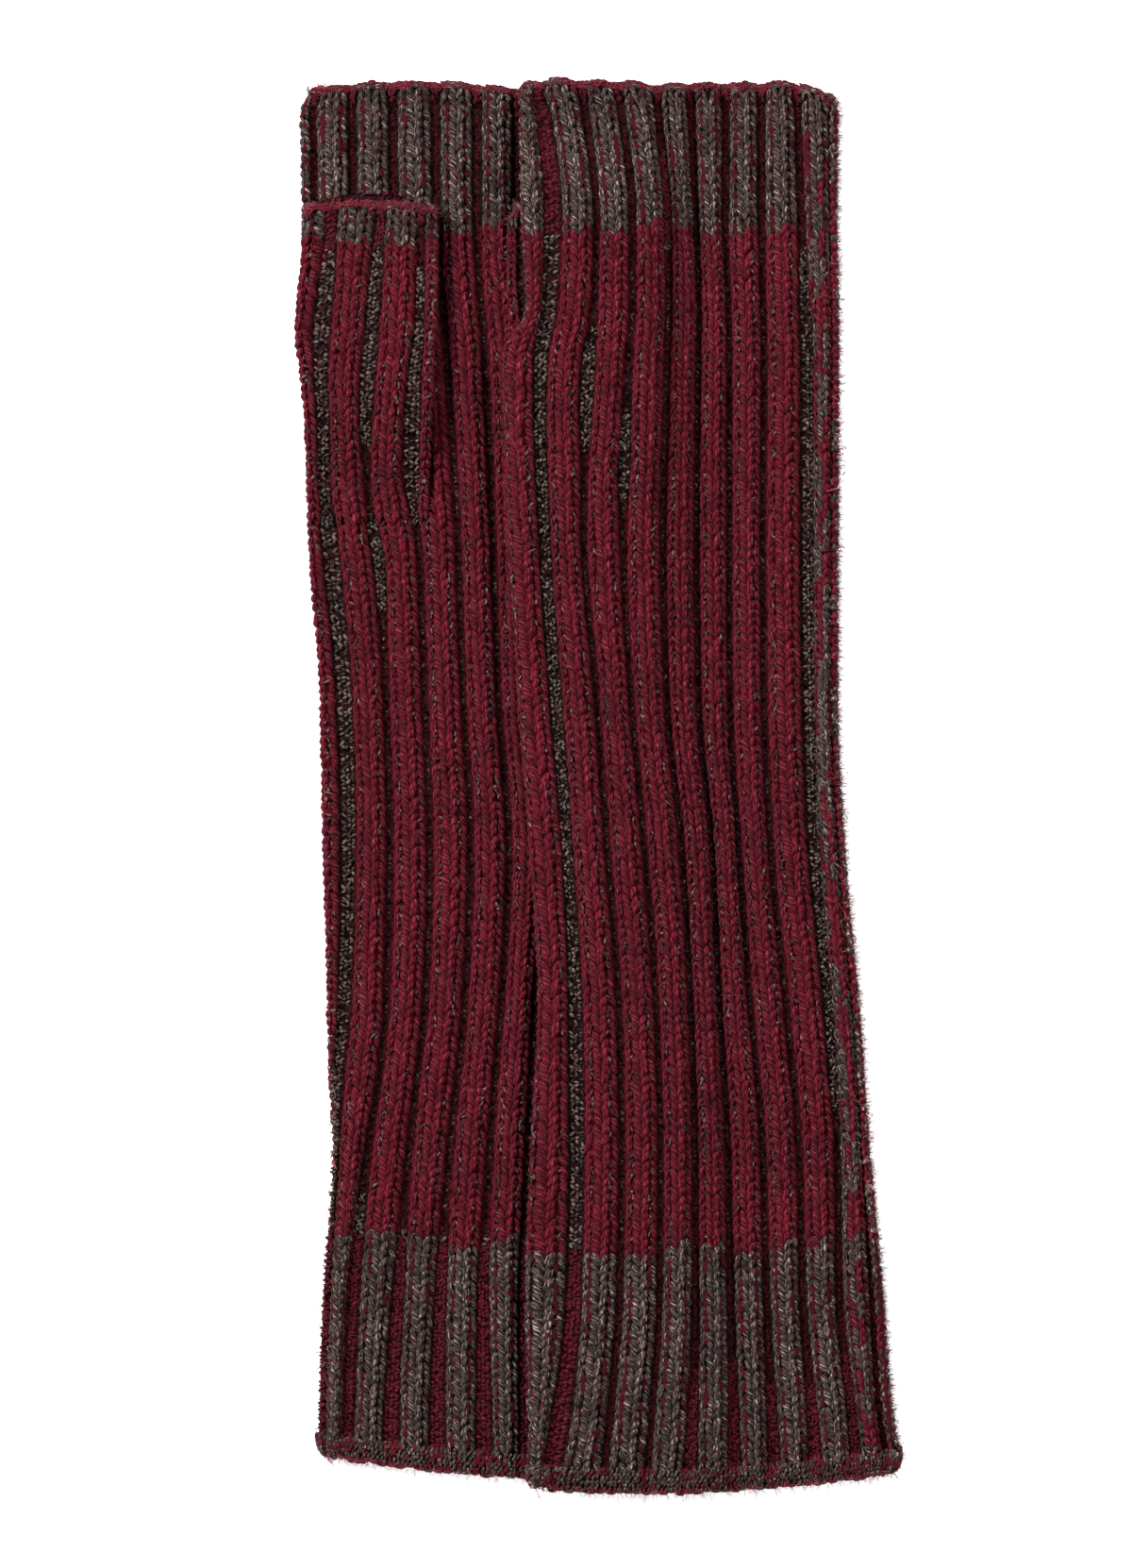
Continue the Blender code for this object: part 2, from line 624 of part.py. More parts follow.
def main():
    clear_scene()
    left = build_body("left_body", LEFT_TABLE, LEFT_RIMS, (table_top, left_base, left_rib),
                      LEFT_CORNERS, wide=(1, 2), inner=LEFT_INNER, sections=LEFT_SECTIONS, bands=LEFT_BANDS)
    thumb = build_thumb("left_thumb", THUMB_CLOTH, LEFT_THUMB_TABLE, left_thumb_floor, left_thumb_base,
                        wide=(1, 2, 3))
    cutter = thumb_hole_cutter("left_thumb_hole", *hole_sides(LEFT_THUMB_TABLE),
                               low=mid_slit(table_top, left_base, BODY_CLOTH),
                               high=mid_slit(left_thumb_floor, left_thumb_base, THUMB_CLOTH))
    cut_thumb_hole((left, thumb), cutter)
    right = build_body("right_body", RIGHT_TABLE, RIGHT_RIMS, (right_floor, right_base, full_rib),
                       RIGHT_CORNERS, wide=(1, 8), inner=RIGHT_INNER, sections=RIGHT_SECTIONS, bands=RIGHT_BANDS)
    thumb = build_thumb("right_thumb", TUCKED_CLOTH, RIGHT_THUMB_TABLE, over_left, right_thumb_base,
                        wide=(1,))
    cutter = thumb_hole_cutter("right_thumb_hole", *hole_sides(RIGHT_THUMB_TABLE),
                               low=mid_slit(over_left, right_thumb_base, TUCKED_CLOTH),
                               high=mid_slit(right_floor, right_base, BODY_CLOTH))
    cut_thumb_hole((right, thumb), cutter)


main()
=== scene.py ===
"""Knits a pair of long ribbed arm warmers in two yarns, stitch by stitch.

Each warmer is a tube laid flat, with a short thumb tube. A thin cloth shell has the laid tube's
form, and every stitch that shows is a strand of yarn on it. The strands are placed by knit
coordinates: q counts the ribs round a tube, r counts the rows from its hand rim, and h is the
height over the shell. Lengths are millimetres until they become mesh points.
"""

import math
from collections import namedtuple

import bpy
import numpy as np
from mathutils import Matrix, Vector


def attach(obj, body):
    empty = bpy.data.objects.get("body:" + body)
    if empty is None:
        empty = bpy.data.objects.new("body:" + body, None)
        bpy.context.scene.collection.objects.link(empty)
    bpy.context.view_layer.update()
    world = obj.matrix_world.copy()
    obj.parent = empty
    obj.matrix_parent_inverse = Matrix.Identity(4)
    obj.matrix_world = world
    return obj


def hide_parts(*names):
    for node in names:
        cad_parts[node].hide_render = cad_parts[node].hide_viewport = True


bl_info = {
    "name": "Knitted Arm Warmers",
    "version": (1, 0, 0),
    "blender": (4, 5, 0),
    "location": "3D View > Sidebar > Arm Warmers",
    "description": "Knits a pair of long ribbed arm warmers in two yarns, stitch by stitch",
    "category": "Add Mesh",
}

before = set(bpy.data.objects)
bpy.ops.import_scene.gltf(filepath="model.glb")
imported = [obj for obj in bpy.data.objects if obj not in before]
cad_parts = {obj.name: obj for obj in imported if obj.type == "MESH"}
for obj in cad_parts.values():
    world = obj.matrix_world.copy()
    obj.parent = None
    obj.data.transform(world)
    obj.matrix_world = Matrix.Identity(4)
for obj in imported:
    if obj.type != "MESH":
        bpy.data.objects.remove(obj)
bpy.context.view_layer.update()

MM = 0.001  # one millimetre in metres
FRAME_CENTRE = (-7.44, 0.36)  # what the camera stands over
SENSOR_WIDTH = 36.0
SURFACE_HALF = 3.0  # half the side of the surface, in metres
LAMP_SIZE = 0.9  # metres
LAMPS = (("key", (-1.5, 1.05, 1.68), 1.0), ("rim", (0.8, 0.5, 0.9), 0.11))  # place, share of the power
BODY = "root"

# The laid pair, as in the part's source, in mm. s runs from the hand end to the forearm end.
MIDDLE_X = -0.49  # x and s of the pair's middle
MIDDLE_S = 170.16
GAP = 0.3  # between pieces that lie on each other
CORNER_REACH = 16.0  # how far across a rounded corner draws the ribs in
CORNER_INSET = 0.5  # a rounded corner's inset at the rim, as a share of its length
FOLD_FRONT = 3.0  # radius of the side folds towards the front, and towards the back
FOLD_BACK = 2.2
LAP_RUN = 22.0  # width over which the lapping warmer comes down to the surface
LAP_LEAD = 1.0  # how far before the left warmer's fold that starts
TUCK_RUN = 16.0  # width over which it comes down past the tucked thumb
TUCK_RISE = (9.0, 1.5)  # how far before the tucked thumb it starts to rise, and has risen
TUCK_START = (12.0, 29.0)  # s over which it rises to that thumb
TUCK_END = 120.0  # s at which it has come down again
THUMB_SEAM = 106.0  # s of the thumbs' seams, and from where they taper to them
THUMB_TAPER = 84.0
SEAM_LIFT = 1.0  # height of a thumb's walls at its seam
TUCKED_END_RIB = 0.5  # height of the tucked thumb's ribs there
SEAM_SINK = 0.9  # how deep the thumb's underside ends in its warmer's cloth
SEAM_DIP = 2.1  # how far the warmer's ribs give way under the thumb's end, over these s
SEAM_DIP_ROWS = (78.0, 92.0, 105.0, 106.4)
SEAM_DIP_SIDE = 1.2  # how far past the thumb's folds they do, and the ramp there
SEAM_DIP_RAMP = 1.2
THUMB_SINK = 1.2  # how deep the thumb lies in that dip before it tapers
COVERED_ROWS = (42.0, 86.0, 105.0)  # s where the thumb starts to hide ribs, narrows, and ends to
LIP = 0.5  # how far the shell stays behind the rims' yarn
UNDER_FURROW = 0.08  # half width of the furrows on the side it lies on, as a share of a rib
FURROW_SHARE = (0.02, 0.95)  # least and most share of a rib that half a furrow takes
FOLD_POINTS = 49  # points along one side of a fold, from which its samples are taken
FOLD_RELIEF = 0.2  # depth of the furrow that goes round a fold, as a share of the others'
FOLD_DRAW = 4.0  # how near a fold the inset draws the shell in sideways too
SLIT_MARGIN = 0.6  # how much farther in than a side's wall the slit ends
SLIT_TURN = 1.2  # height over which the slit's wall turns from its floor to its ceiling
RIM_SHOWS = 5  # rows at a rim whose stitches always show
LAP_SHOWS = (8.0, 7.0)  # how far in from the lap's edges the lapping and the lapped side show
THUMB_SHOWS = (4.0, 1.0)  # the same at the left thumb's folds, beside its free part and its seam

# Heights of the back wall, the slit, the front wall and its ribs, and the walls at the folds.
Cloth = namedtuple("Cloth", "back slit front rib side")
BODY_CLOTH = Cloth(back=1.8, slit=0.8, front=1.3, rib=2.5, side=1.9)
THUMB_CLOTH = Cloth(back=1.3, slit=0.8, front=1.2, rib=2.0, side=1.9)
TUCKED_CLOTH = Cloth(back=1.1, slit=0.8, front=1.0, rib=1.1, side=1.8)

# How far the front drops, and which share of its relief it keeps, at distances from a rim.
Rim = namedtuple("Rim", "distance drop relief")
BOUND_OFF_RIM = Rim((0.0, 1.2, 2.6, 4.4, 7.0), (1.1, 0.1, 0.0, 0.5, 0.0), (0.5, 0.5, 0.5, 1.0, 1.0))
CAST_ON_RIM = Rim((0.0, 1.6, 4.0, 5.8, 8.5), (1.3, 0.1, 0.0, 0.6, 0.0), (0.4, 0.4, 0.4, 1.0, 1.0))

# Where the side folds and the furrows between them lie: x of each at some s.
BODY_COLUMNS = "s edge_l f1 f2 f3 f4 f5 f6 f7 f8 f9 edge_r"
LEFT_LINES = (
    (0, -72.3, -69.4, -59.6, -49.8, -39.4, -29.4, -19.7, -10.2, -1.1, 4.4, 5.7),
    (37, -71.6, -68.7, -58.9, -49.2, -39.0, -29.3, -19.7, -10.2, -0.9, 4.6, 5.9),
    (68, -71.2, -67.8, -57.0, -46.9, -36.7, -27.2, -17.7, -8.4, 0.3, 5.4, 6.8),
    (106, -70.5, -65.4, -54.8, -44.0, -34.1, -25.6, -16.5, -7.5, 1.1, 6.3, 7.7),
    (118, -69.8, -64.2, -52.8, -43.0, -33.7, -25.2, -16.2, -7.3, 1.3, 6.6, 8.0),
    (149, -67.6, -61.3, -51.2, -41.9, -32.6, -24.1, -15.6, -6.6, 2.3, 7.6, 9.1),
    (185, -66.9, -60.3, -50.3, -40.6, -30.8, -21.6, -13.1, -4.1, 4.5, 9.3, 10.9),
    (222, -65.7, -61.3, -51.1, -41.7, -32.2, -23.3, -15.2, -5.7, 3.4, 11.0, 12.9),
    (240, -65.2, -63.0, -52.8, -43.7, -33.9, -24.9, -16.0, -6.3, 2.9, 11.5, 14.0),
    (258, -64.6, -64.1, -55.6, -45.6, -35.8, -26.2, -16.8, -7.0, 2.5, 12.0, 15.2),
    (294, -66.9, -66.2, -59.3, -48.4, -38.2, -27.9, -17.8, -7.9, 2.0, 12.2, 18.4),
    (321, -67.8, -67.1, -60.4, -49.9, -38.9, -27.7, -17.3, -7.3, 3.2, 13.4, 21.1),
    (340, -68.0, -67.3, -60.8, -50.3, -38.9, -27.6, -17.0, -7.1, 3.6, 13.9, 22.2),
)
RIGHT_LINES = (
    (0, -19.5, -16.4, -4.6, 3.9, 13.1, 21.8, 30.4, 38.8, 47.2, 55.8, 58.3),
    (10, -19.4, -13.6, -3.1, 5.5, 14.2, 22.2, 30.4, 38.9, 47.8, 55.9, 57.7),
    (34, -19.0, -11.2, -0.6, 7.9, 16.3, 23.2, 30.3, 39.0, 48.7, 56.1, 57.4),
    (56, -17.9, -12.1, -1.2, 7.9, 16.5, 24.0, 31.1, 39.4, 49.5, 56.4, 57.8),
    (68, -23.6, -14.1, -2.5, 7.0, 16.1, 23.8, 31.3, 39.7, 50.0, 56.4, 57.8),
    (80, -23.2, -14.3, -3.2, 6.5, 15.8, 23.6, 31.3, 39.6, 50.0, 56.4, 57.8),
    (108, -22.2, -13.3, -3.7, 5.7, 15.2, 23.3, 31.3, 39.4, 50.0, 56.3, 57.7),
    (149, -19.7, -10.5, -0.6, 7.7, 16.1, 23.8, 31.5, 39.7, 50.4, 56.2, 57.6),
    (185, -17.0, -7.8, 2.0, 10.9, 19.7, 27.0, 33.6, 41.3, 51.7, 57.8, 59.2),
    (222, -15.0, -5.8, 4.7, 13.6, 21.8, 28.8, 36.3, 44.9, 55.0, 61.2, 62.6),
    (258, -16.8, -5.4, 5.5, 14.7, 22.9, 30.8, 39.4, 48.1, 57.3, 63.6, 65.3),
    (294, -17.9, -6.3, 4.8, 14.5, 23.0, 31.5, 40.3, 49.0, 57.8, 66.0, 68.7),
    (321, -17.2, -9.2, 2.6, 12.6, 22.4, 32.2, 41.5, 51.2, 60.8, 67.6, 71.0),
    (340, -17.5, -13.0, 0.6, 11.3, 21.4, 32.5, 42.4, 52.4, 62.4, 71.0, 74.8),
)
THUMB_COLUMNS = "s edge_l f1 f2 f3 edge_r"
LEFT_THUMB_LINES = (
    (30, -71.6, -63.8, -52.0, -42.4, -38.1),
    (38, -71.9, -64.4, -52.7, -42.6, -38.3),
    (50, -72.5, -65.4, -53.7, -42.8, -38.3),
    (61, -73.4, -66.5, -54.5, -43.1, -38.8),
    (72, -72.0, -66.8, -55.4, -44.2, -39.4),
    (83, -71.0, -66.2, -56.0, -44.8, -40.0),
    (95, -70.4, -66.2, -55.8, -45.1, -40.5),
    (106, -70.3, -65.4, -54.8, -44.0, -40.8),
)
RIGHT_THUMB_LINES = (
    (30, -20.9, -18.0, -9.0, 0.5, 8.0),
    (38, -22.2, -18.4, -9.0, 0.5, 8.0),
    (50, -22.4, -18.4, -9.0, 0.5, 8.0),
    (60, -21.6, -17.4, -8.5, 0.5, 8.0),
    (70, -20.0, -15.4, -7.5, 0.8, 8.0),
    (77, -17.8, -13.4, -6.0, 1.1, 8.0),
    (84, -15.5, -11.2, -5.0, 1.5, 8.0),
    (106, -15.5, -11.2, -5.0, 1.8, 8.0),
)

# s of the rims at their left, middle and right.
Rims = namedtuple("Rims", "hand far")
LEFT_RIMS = Rims((3.0, 0.4, 2.0), (331.5, 336.4, 338.0))
RIGHT_RIMS = Rims((1.2, 0.6, 1.8), (338.6, 339.7, 335.3))
# How far the hand rims sag below those arcs: shares of their width, and millimetres.
HAND_SAG = {
    "left_body": ((0, 0.2, 0.35, 0.45, 0.55, 0.64, 0.75, 1), (0, 0, 0.4, 0.7, 1.4, 2.3, 2.1, 0.8)),
    "right_body": ((0, 0.06, 0.12, 0.2, 0.29, 0.35, 0.41, 0.47, 0.55, 0.65, 0.76, 0.83, 0.9, 1),
                   (0.8, 0.6, 0.0, 0.6, 1.0, 0.9, 1.8, 1.3, 0.9, 0.7, 0.5, -0.2, 0.7, 2.6)),
    "left_thumb": ((0, 1), (0, 0)),
    "right_thumb": ((0, 1), (0, 0)),
}
THUMB_FRONT_RIM = (31.6, 30.2, 32.0)
THUMB_BACK_RIM = (31.2, 28.3, 31.6)
# Lengths of the rounded corners: left and right at the hand, left and right at the forearm.
LEFT_CORNERS = (6.5, 3.0, 4.0, 4.0)
RIGHT_CORNERS = (3.0, 3.6, 3.0, 5.0)
THUMB_CORNERS = (3.2, 3.2, 0.0, 0.0)

# Widths of the furrows that show, in mm at some s, by the lines' numbers. 0 is every other line.
FURROW_WIDTHS = {
    "left_body": {
        0: ((0, 35, 45, 250, 275, 290, 310, 322, 335), (2.4, 2.3, 1.8, 1.8, 2.3, 3.0, 3.6, 4.2, 4.6)),
        1: ((0, 55, 100, 118, 130, 174, 220, 260), (2.7, 2.7, 4.4, 4.9, 4.4, 4.2, 3.9, 3.8)),
        2: ((0, 60, 105, 118, 129, 150, 190, 208, 225, 245, 262, 276, 288, 340),
            (2.4, 2.2, 3.0, 3.2, 2.4, 1.8, 2.0, 2.4, 1.8, 1.7, 2.4, 2.8, 3.6, 3.9)),
    },
    "left_thumb": {
        1: ((31, 38, 49, 61, 72, 83, 95, 104), (2.4, 2.8, 4.2, 4.8, 3.7, 3.4, 3.5, 3.7)),
        2: ((31, 38, 49, 61, 72, 83, 95, 104), (2.2, 2.6, 3.6, 3.5, 4.2, 3.3, 1.9, 1.7)),
        3: ((31, 38, 49, 61, 72, 83, 95, 104), (2.0, 2.1, 2.6, 2.8, 3.9, 4.8, 4.9, 3.2)),
    },
    "right_body": {
        0: ((0, 35, 45, 270, 290, 310, 322, 333), (2.2, 2.0, 1.7, 1.8, 2.0, 2.3, 2.8, 3.6)),
        1: ((0, 10, 35, 56, 64, 72, 83, 106, 130, 150, 185, 200, 240, 290, 310, 322),
            (3.2, 4.5, 4.8, 4.9, 4.4, 3.7, 3.4, 3.2, 3.3, 3.4, 2.9, 3.2, 4.1, 3.8, 4.4, 5.4)),
        2: ((0, 30, 50, 60, 68, 75, 83, 90, 96, 140), (2.2, 1.8, 1.7, 2.3, 4.0, 3.9, 3.3, 2.4, 1.8, 1.7)),
        3: ((0, 60, 83, 95, 106, 117, 140), (2.0, 2.0, 2.5, 3.1, 2.1, 1.6, 1.6)),
        8: ((0, 40, 52, 62, 150, 185, 208, 240, 255, 290, 322, 335),
            (1.9, 2.2, 2.8, 3.6, 3.6, 3.5, 2.9, 2.7, 2.0, 2.0, 2.6, 3.2)),
        9: ((0, 270, 285, 335), (1.6, 1.6, 2.2, 2.4)),
    },
    "right_thumb": {0: ((30, 106), (2.4, 2.4))},
}
MEDIUM_FURROW = 2.5  # the width in mm from which a furrow's floor shows several stitches
FLOOR_COLUMN = 0.29  # how far those lie from its middle, as a share of its width
BESIDE = 0.03  # ribs from a furrow's middle at which the scale of its sides is read

# Rows of each tube, and the rows at which the two yarns swap places.
BODY_ROWS = 164
THUMB_ROWS = 36
HAND_BAND_ROWS = 18
FOREARM_BAND_ROWS = (27, 28)
THUMB_BAND_ROWS = 5
MOST_ROWS = 220  # more than the rows of a tube, and than ten times its ribs

# The shell under the stitches.
SAMPLES = 24  # samples of the loop for each rib
SHELL_STEPS = 8  # shell points for each rib
SHELL_ROW = 3  # rows between two of the shell's loops
RIM_ROWS = 6  # rows from a rim in which the shell has a loop at every row
BACK_RELIEF = 0.7  # depth of the furrows on the side it lies on
RIB_ROUND = 2.1  # power of a rib's section: 2 is a parabola, and more is flatter
FLOOR_INSET = 0.85  # inset at the furrows, as a share of the inset at the crests
INSET_SHARE = {"left_body": 1.0, "left_thumb": 0.9, "right_body": 1.0, "right_thumb": 0.8}
HIDDEN_SHARE = {1: 0.5, 2: 0.38}  # share of a fold's length that its first half takes, by its ribs
NORMAL_SHARES = ((-2, 0.5), (-1, 1.0), (0, 1.0), (1, 1.0), (2, 0.5))  # of neighbours in a normal
LEAST_RIB = 4.0  # width in mm that a rib is taken to have at least

# Where the yarns mix.
MOTTLED_RIBS = {9: 0.5, 10: 0.32}  # ribs of the right warmer that mix them, and the grey's share
MOTTLED_BAND = 0.38  # the wine's share on those ribs in the bands
OTHER_YARN = 0.36  # the most of the other yarn in a leg, and how much more there is in a grey one
GREY_MOTTLE = 0.12
LAST_LEG_STREAKS = (9, 0.13)  # rows, and share, of the streaks in a rib's last legs
FURROW_WINE = (0.1, 0.35)  # the wine's share in the cloth of a furrow, and how much more in a band

# The rims and the hairs.
RIM_WAVE = 0.12  # rows by which a rim bulges at the ribs
RIM_UNDER = 0.7  # mm by which a rim's roll is taller, and set deeper, on the side it lies on
CORNER_ROWS = 0.28  # rows that the bound-off edge goes round a corner, for each mm of its length
CORNER_LOOPS = 5  # loops there, for each mm of its length
BOUND_OFF_CHAIN = ((-0.1, 0.1, 1.0), (0.15, 0.45, 1.0), (0.42, 0.6, 0.9))  # row, lift, half width
CHAIN_STEP = 0.14  # ribs between two loops of it
FURROW_END = 9  # loops of it that are drawn into the end of a furrow
CAST_ON_ROLL = (-2.4, -2.0, -1.6, -1.2, -0.8, -0.4)  # rows from the forearm rim
ROLL_STEP = 0.1  # ribs between two loops of the roll, and of the cord outside it
CORD_STEP = 0.2
LOWEST = 0.05  # every strand stays this far over the surface
RIM_FUZZ = 0.2  # share of a tube's hairs that stand at its rims
# Hairs at the left and at the right fold, as shares of those on the rest of a tube.
FOLD_FUZZ = {"left_body": (0.25, 0.0), "left_thumb": (0.12, 0.0),
             "right_body": (0.0, 1.2), "right_thumb": (0.1, 0.0)}

# A knit column is two slanted legs, and a rib is two columns.
COLUMN_PLACES = (0.26, 0.74)
FLECKED = (1.1, 0.75)  # flecks on a rib's two columns, against the mean
LEG_SPACING = 0.24
LEG_WIDTHS = (1.2, 2.4)  # least and most room in mm that a leg takes
LEG_SLIP = 0.8  # how far a leg's ends move sideways, against the unevenness of its rows
SECTION_FOOT = 0.12  # height of a strand's section at its sides, as a share of its middle's
CELL_MARGIN = 0.06  # free share at each side of a strand's cell on the flat map
CELLS_WIDE = 1.25  # columns of cells on that map for each line of them

# Turns of a yarn's twist for each mm along it, and across its section.
TWIST_ALONG = 0.52
TWIST_ACROSS = 2.1

# A leg's foot and tip: offsets from its column's middle in spacings, and rows from its stitch.
Path = namedtuple("Path", "foot tip foot_row tip_row")
LEFT_LEG = Path(0.98, 0.16, 1.0, -0.7)
RIGHT_LEG = Path(1.0, 0.18, 0.85, -0.73)

# Shape of a strand: share of its length, half width, height, and degrees round its section.
Strand = namedtuple("Strand", "along width lift around")
LEG = Strand((0.0, 0.25, 0.52, 0.8, 1.0), (0.14, 0.38, 0.47, 0.4, 0.14),
             (-0.45, 0.4, 0.9, 0.85, 0.25), (-90, -48, 0, 48, 90))
PLAIN_LEG = Strand((0.0, 0.5, 1.0), (0.15, 0.62, 0.12), (-0.1, 1.1, 0.1), (-90, -32, 32, 90))
ROLL = Strand((0.0, 0.3, 0.7, 1.0), (0.12, 0.46, 0.5, 0.12), (0.1, 0.85, 1.0, 0.1), (-90, -32, 32, 90))
BUMP = Strand((0.0, 0.3, 0.7, 1.0), (0.15, 0.5, 0.5, 0.15), (-0.2, 0.9, 0.9, -0.2), (-90, 0, 90))
FLECK = Strand((0.0, 0.45, 1.0), (0.1, 0.5, 0.1), (0.35, 1.0, 0.55), (-90, 0, 90))
FIBRE = Strand((0.0, 0.5, 1.0), (0.5, 0.48, 0.25), (0.1, 0.75, 1.0), (-90, 90))

WINE, GREY, SHADED_WINE, PALE_GREY = range(4)  # the spun yarns; the third is a darkened copy of the wine, which is painted shade

# Looks of the furrows' bumps, of the flecks and of the hairs.
Bumps = namedtuple("Bumps", "reach often size height lift yarn pale")
FURROW_BUMPS = (
    Bumps(0.55, 0.5, 1.0, 1.1, -0.3, GREY, 0.0),  # grey in a narrow furrow
    Bumps(0.55, 0.82, 1.0, 1.5, 0.0, GREY, 0.45),  # grey in a wide furrow
    Bumps(0.62, 0.95, 1.3, 1.1, -0.3, SHADED_WINE, 0.0),  # wine in a narrow furrow, darkened as painted shade
    Bumps(0.62, 0.95, 1.3, 1.1, 0.0, WINE, 0.0),  # wine in a wide furrow
)
Flecks = namedtuple("Flecks", "size thick lift mix least_mix")
FLECKS_ON_GREY = Flecks(1.5, 3.1, -0.12, 0.3, 0.0)
FLECKS_ON_WINE = Flecks(0.75, 1.0, 0.0, 0.4, 0.15)
Hairs = namedtuple("Hairs", "half_width length grey")
EDGE_HAIRS = Hairs(0.08, 0.6, 0.15)  # at the folds and the rims
OTHER_HAIRS = Hairs(0.045, 1.0, 0.35)
THUMB_HAIRS = 5  # a thumb has one hair for so many of a body's

# Bumps and flecks one by one: least and most, against what their looks say.
BUMP_LENGTHS = (0.6, 1.15)
BUMP_SIZES = (0.4, 0.85)
FLECK_LENGTHS = (0.3, 0.8)
FLECK_WIDTHS = (0.25, 0.65)
FLECK_LIFTS = (0.3, 0.75)
BUMP_STEP = 0.5  # rows between two bumps of a column
BUMP_TILT = 0.17  # rows by which they slant, to either side in turn
BUMP_MIX = 0.4  # the most of the other yarn in a bump
LONG_BUMPS = (3.4, 1.4)  # width of a furrow in mm from which bumps are longer, and the most they are
PALE_FLECKS = 0.35  # share of the flecks on wine that are pale


def table(columns, rows):
    """A table's columns as arrays, by their names."""
    return {name: np.array(values, float) for name, values in zip(columns.split(), zip(*rows))}


def smooth(knots, values, at):
    """Monotone cubic through the knots, at an array of places."""
    run = np.diff(knots)
    slope = np.diff(values) / run
    tangent = np.zeros(len(knots))
    tangent[0], tangent[-1] = slope[0], slope[-1]
    before, after = slope[:-1], slope[1:]
    bent = before * after > 0
    tangent[1:-1][bent] = 2 * before[bent] * after[bent] / (before[bent] + after[bent])
    i = np.clip(np.searchsorted(knots, at) - 1, 0, len(run) - 1)
    t = np.clip((at - knots[i]) / run[i], 0.0, 1.0)
    hold = (1 + 2 * t) * (1 - t) ** 2
    return (values[i] * hold + values[i + 1] * (1 - hold)
            + run[i] * t * (1 - t) * (tangent[i] * (1 - t) - tangent[i + 1] * t))


def ease(t):
    """Smooth step from 0 to 1."""
    t = np.clip(t, 0.0, 1.0)
    return t * t * (3 - 2 * t)


def either(choice, first, second):
    """The values of a look, from the first where the choice is true and otherwise the second."""
    return type(first)(*(np.where(choice, a, b) for a, b in zip(first, second)))


def rim_arc(ends, u):
    """s of a curved rim at the share u of its width."""
    left, middle, right = ends
    return left * (1 - u) * (1 - 2 * u) + middle * 4 * u * (1 - u) + right * u * (2 * u - 1)


def corner_inset(length, distance):
    """How far a rounded corner draws a side fold in, at a distance from the rim."""
    if length == 0:
        return np.zeros_like(distance)
    return CORNER_INSET * length * (1 - np.clip(distance / length, 0.0, 1.0)) ** 2


def fold_arch(share):
    """Share of the half thickness that a round side fold has, at a share of its radius."""
    return np.sqrt(1 - (1 - np.clip(share, 0.0, 1.0)) ** 2)


def rib_relief(share):
    """Height of a rib, from 0 at its furrows to 1 at its crest."""
    return np.where(abs(2 * share - 1) < 1, 1 - abs(2 * share - 1) ** RIB_ROUND, 0.0)


def two_walls(cloth):
    return cloth.back + cloth.slit + cloth.front


LEFT_TABLE = table(BODY_COLUMNS, LEFT_LINES)
RIGHT_TABLE = table(BODY_COLUMNS, RIGHT_LINES)
LEFT_THUMB_TABLE = table(THUMB_COLUMNS, LEFT_THUMB_LINES)
RIGHT_THUMB_TABLE = table(THUMB_COLUMNS, RIGHT_THUMB_LINES)
LEFT_HEIGHT = two_walls(BODY_CLOTH) + BODY_CLOTH.rib


def side_folds(lines, s):
    return [smooth(lines["s"], lines[name], s) for name in ("edge_l", "edge_r")]


def seam_dip(x, s):
    """0 to 1: how far the left warmer's ribs give way under the end of its thumb."""
    start, full, end, gone = SEAM_DIP_ROWS
    left, right = side_folds(LEFT_THUMB_TABLE, s)
    across = (ease((x - left + SEAM_DIP_SIDE) / SEAM_DIP_RAMP)
              * ease((right + SEAM_DIP_SIDE - x) / SEAM_DIP_RAMP))
    return across * ease((s - start) / (full - start)) * (1 - ease((s - end) / (gone - end)))


def level(height):
    """The same height everywhere, in the form of the heights below: functions of x and s."""
    return lambda x, s: height + np.zeros_like(x)


def left_rib(x, s):
    return BODY_CLOTH.rib - SEAM_DIP * seam_dip(x, s)


def left_thumb_floor(x, s):
    """The left thumb lies on the crests of its warmer's ribs, and its end sinks into their cloth."""
    start, full = SEAM_DIP_ROWS[:2]
    dip = (LEFT_HEIGHT + GAP) - THUMB_SINK * ease((s - start) / (full - start))
    end = two_walls(BODY_CLOTH) - SEAM_SINK
    return end + (dip - end) * thumb_taper(s)


def thumb_taper(s):
    """1 along the thumb, going to 0 at its seam."""
    return 1 - ease((s - THUMB_TAPER) / (THUMB_SEAM - GAP - THUMB_TAPER))


def thumb_lift(cloth, s):
    return SEAM_LIFT + (two_walls(cloth) - SEAM_LIFT) * thumb_taper(s)


def left_thumb_base(x, s):
    return left_thumb_floor(x, s) + thumb_lift(THUMB_CLOTH, s)


def left_thumb_rib(x, s):
    return BODY_CLOTH.rib + (THUMB_CLOTH.rib - BODY_CLOTH.rib) * thumb_taper(s)


def over_left(x, s):
    """Height of what lies on the left warmer and comes down past its right fold."""
    fold = side_folds(LEFT_TABLE, s)[1]
    return (LEFT_HEIGHT + GAP) * (1 - ease((x - fold + LAP_LEAD) / LAP_RUN))


def right_thumb_base(x, s):
    return over_left(x, s) + thumb_lift(TUCKED_CLOTH, s)


def right_thumb_rib(x, s):
    return TUCKED_END_RIB + (TUCKED_CLOTH.rib - TUCKED_END_RIB) * thumb_taper(s)


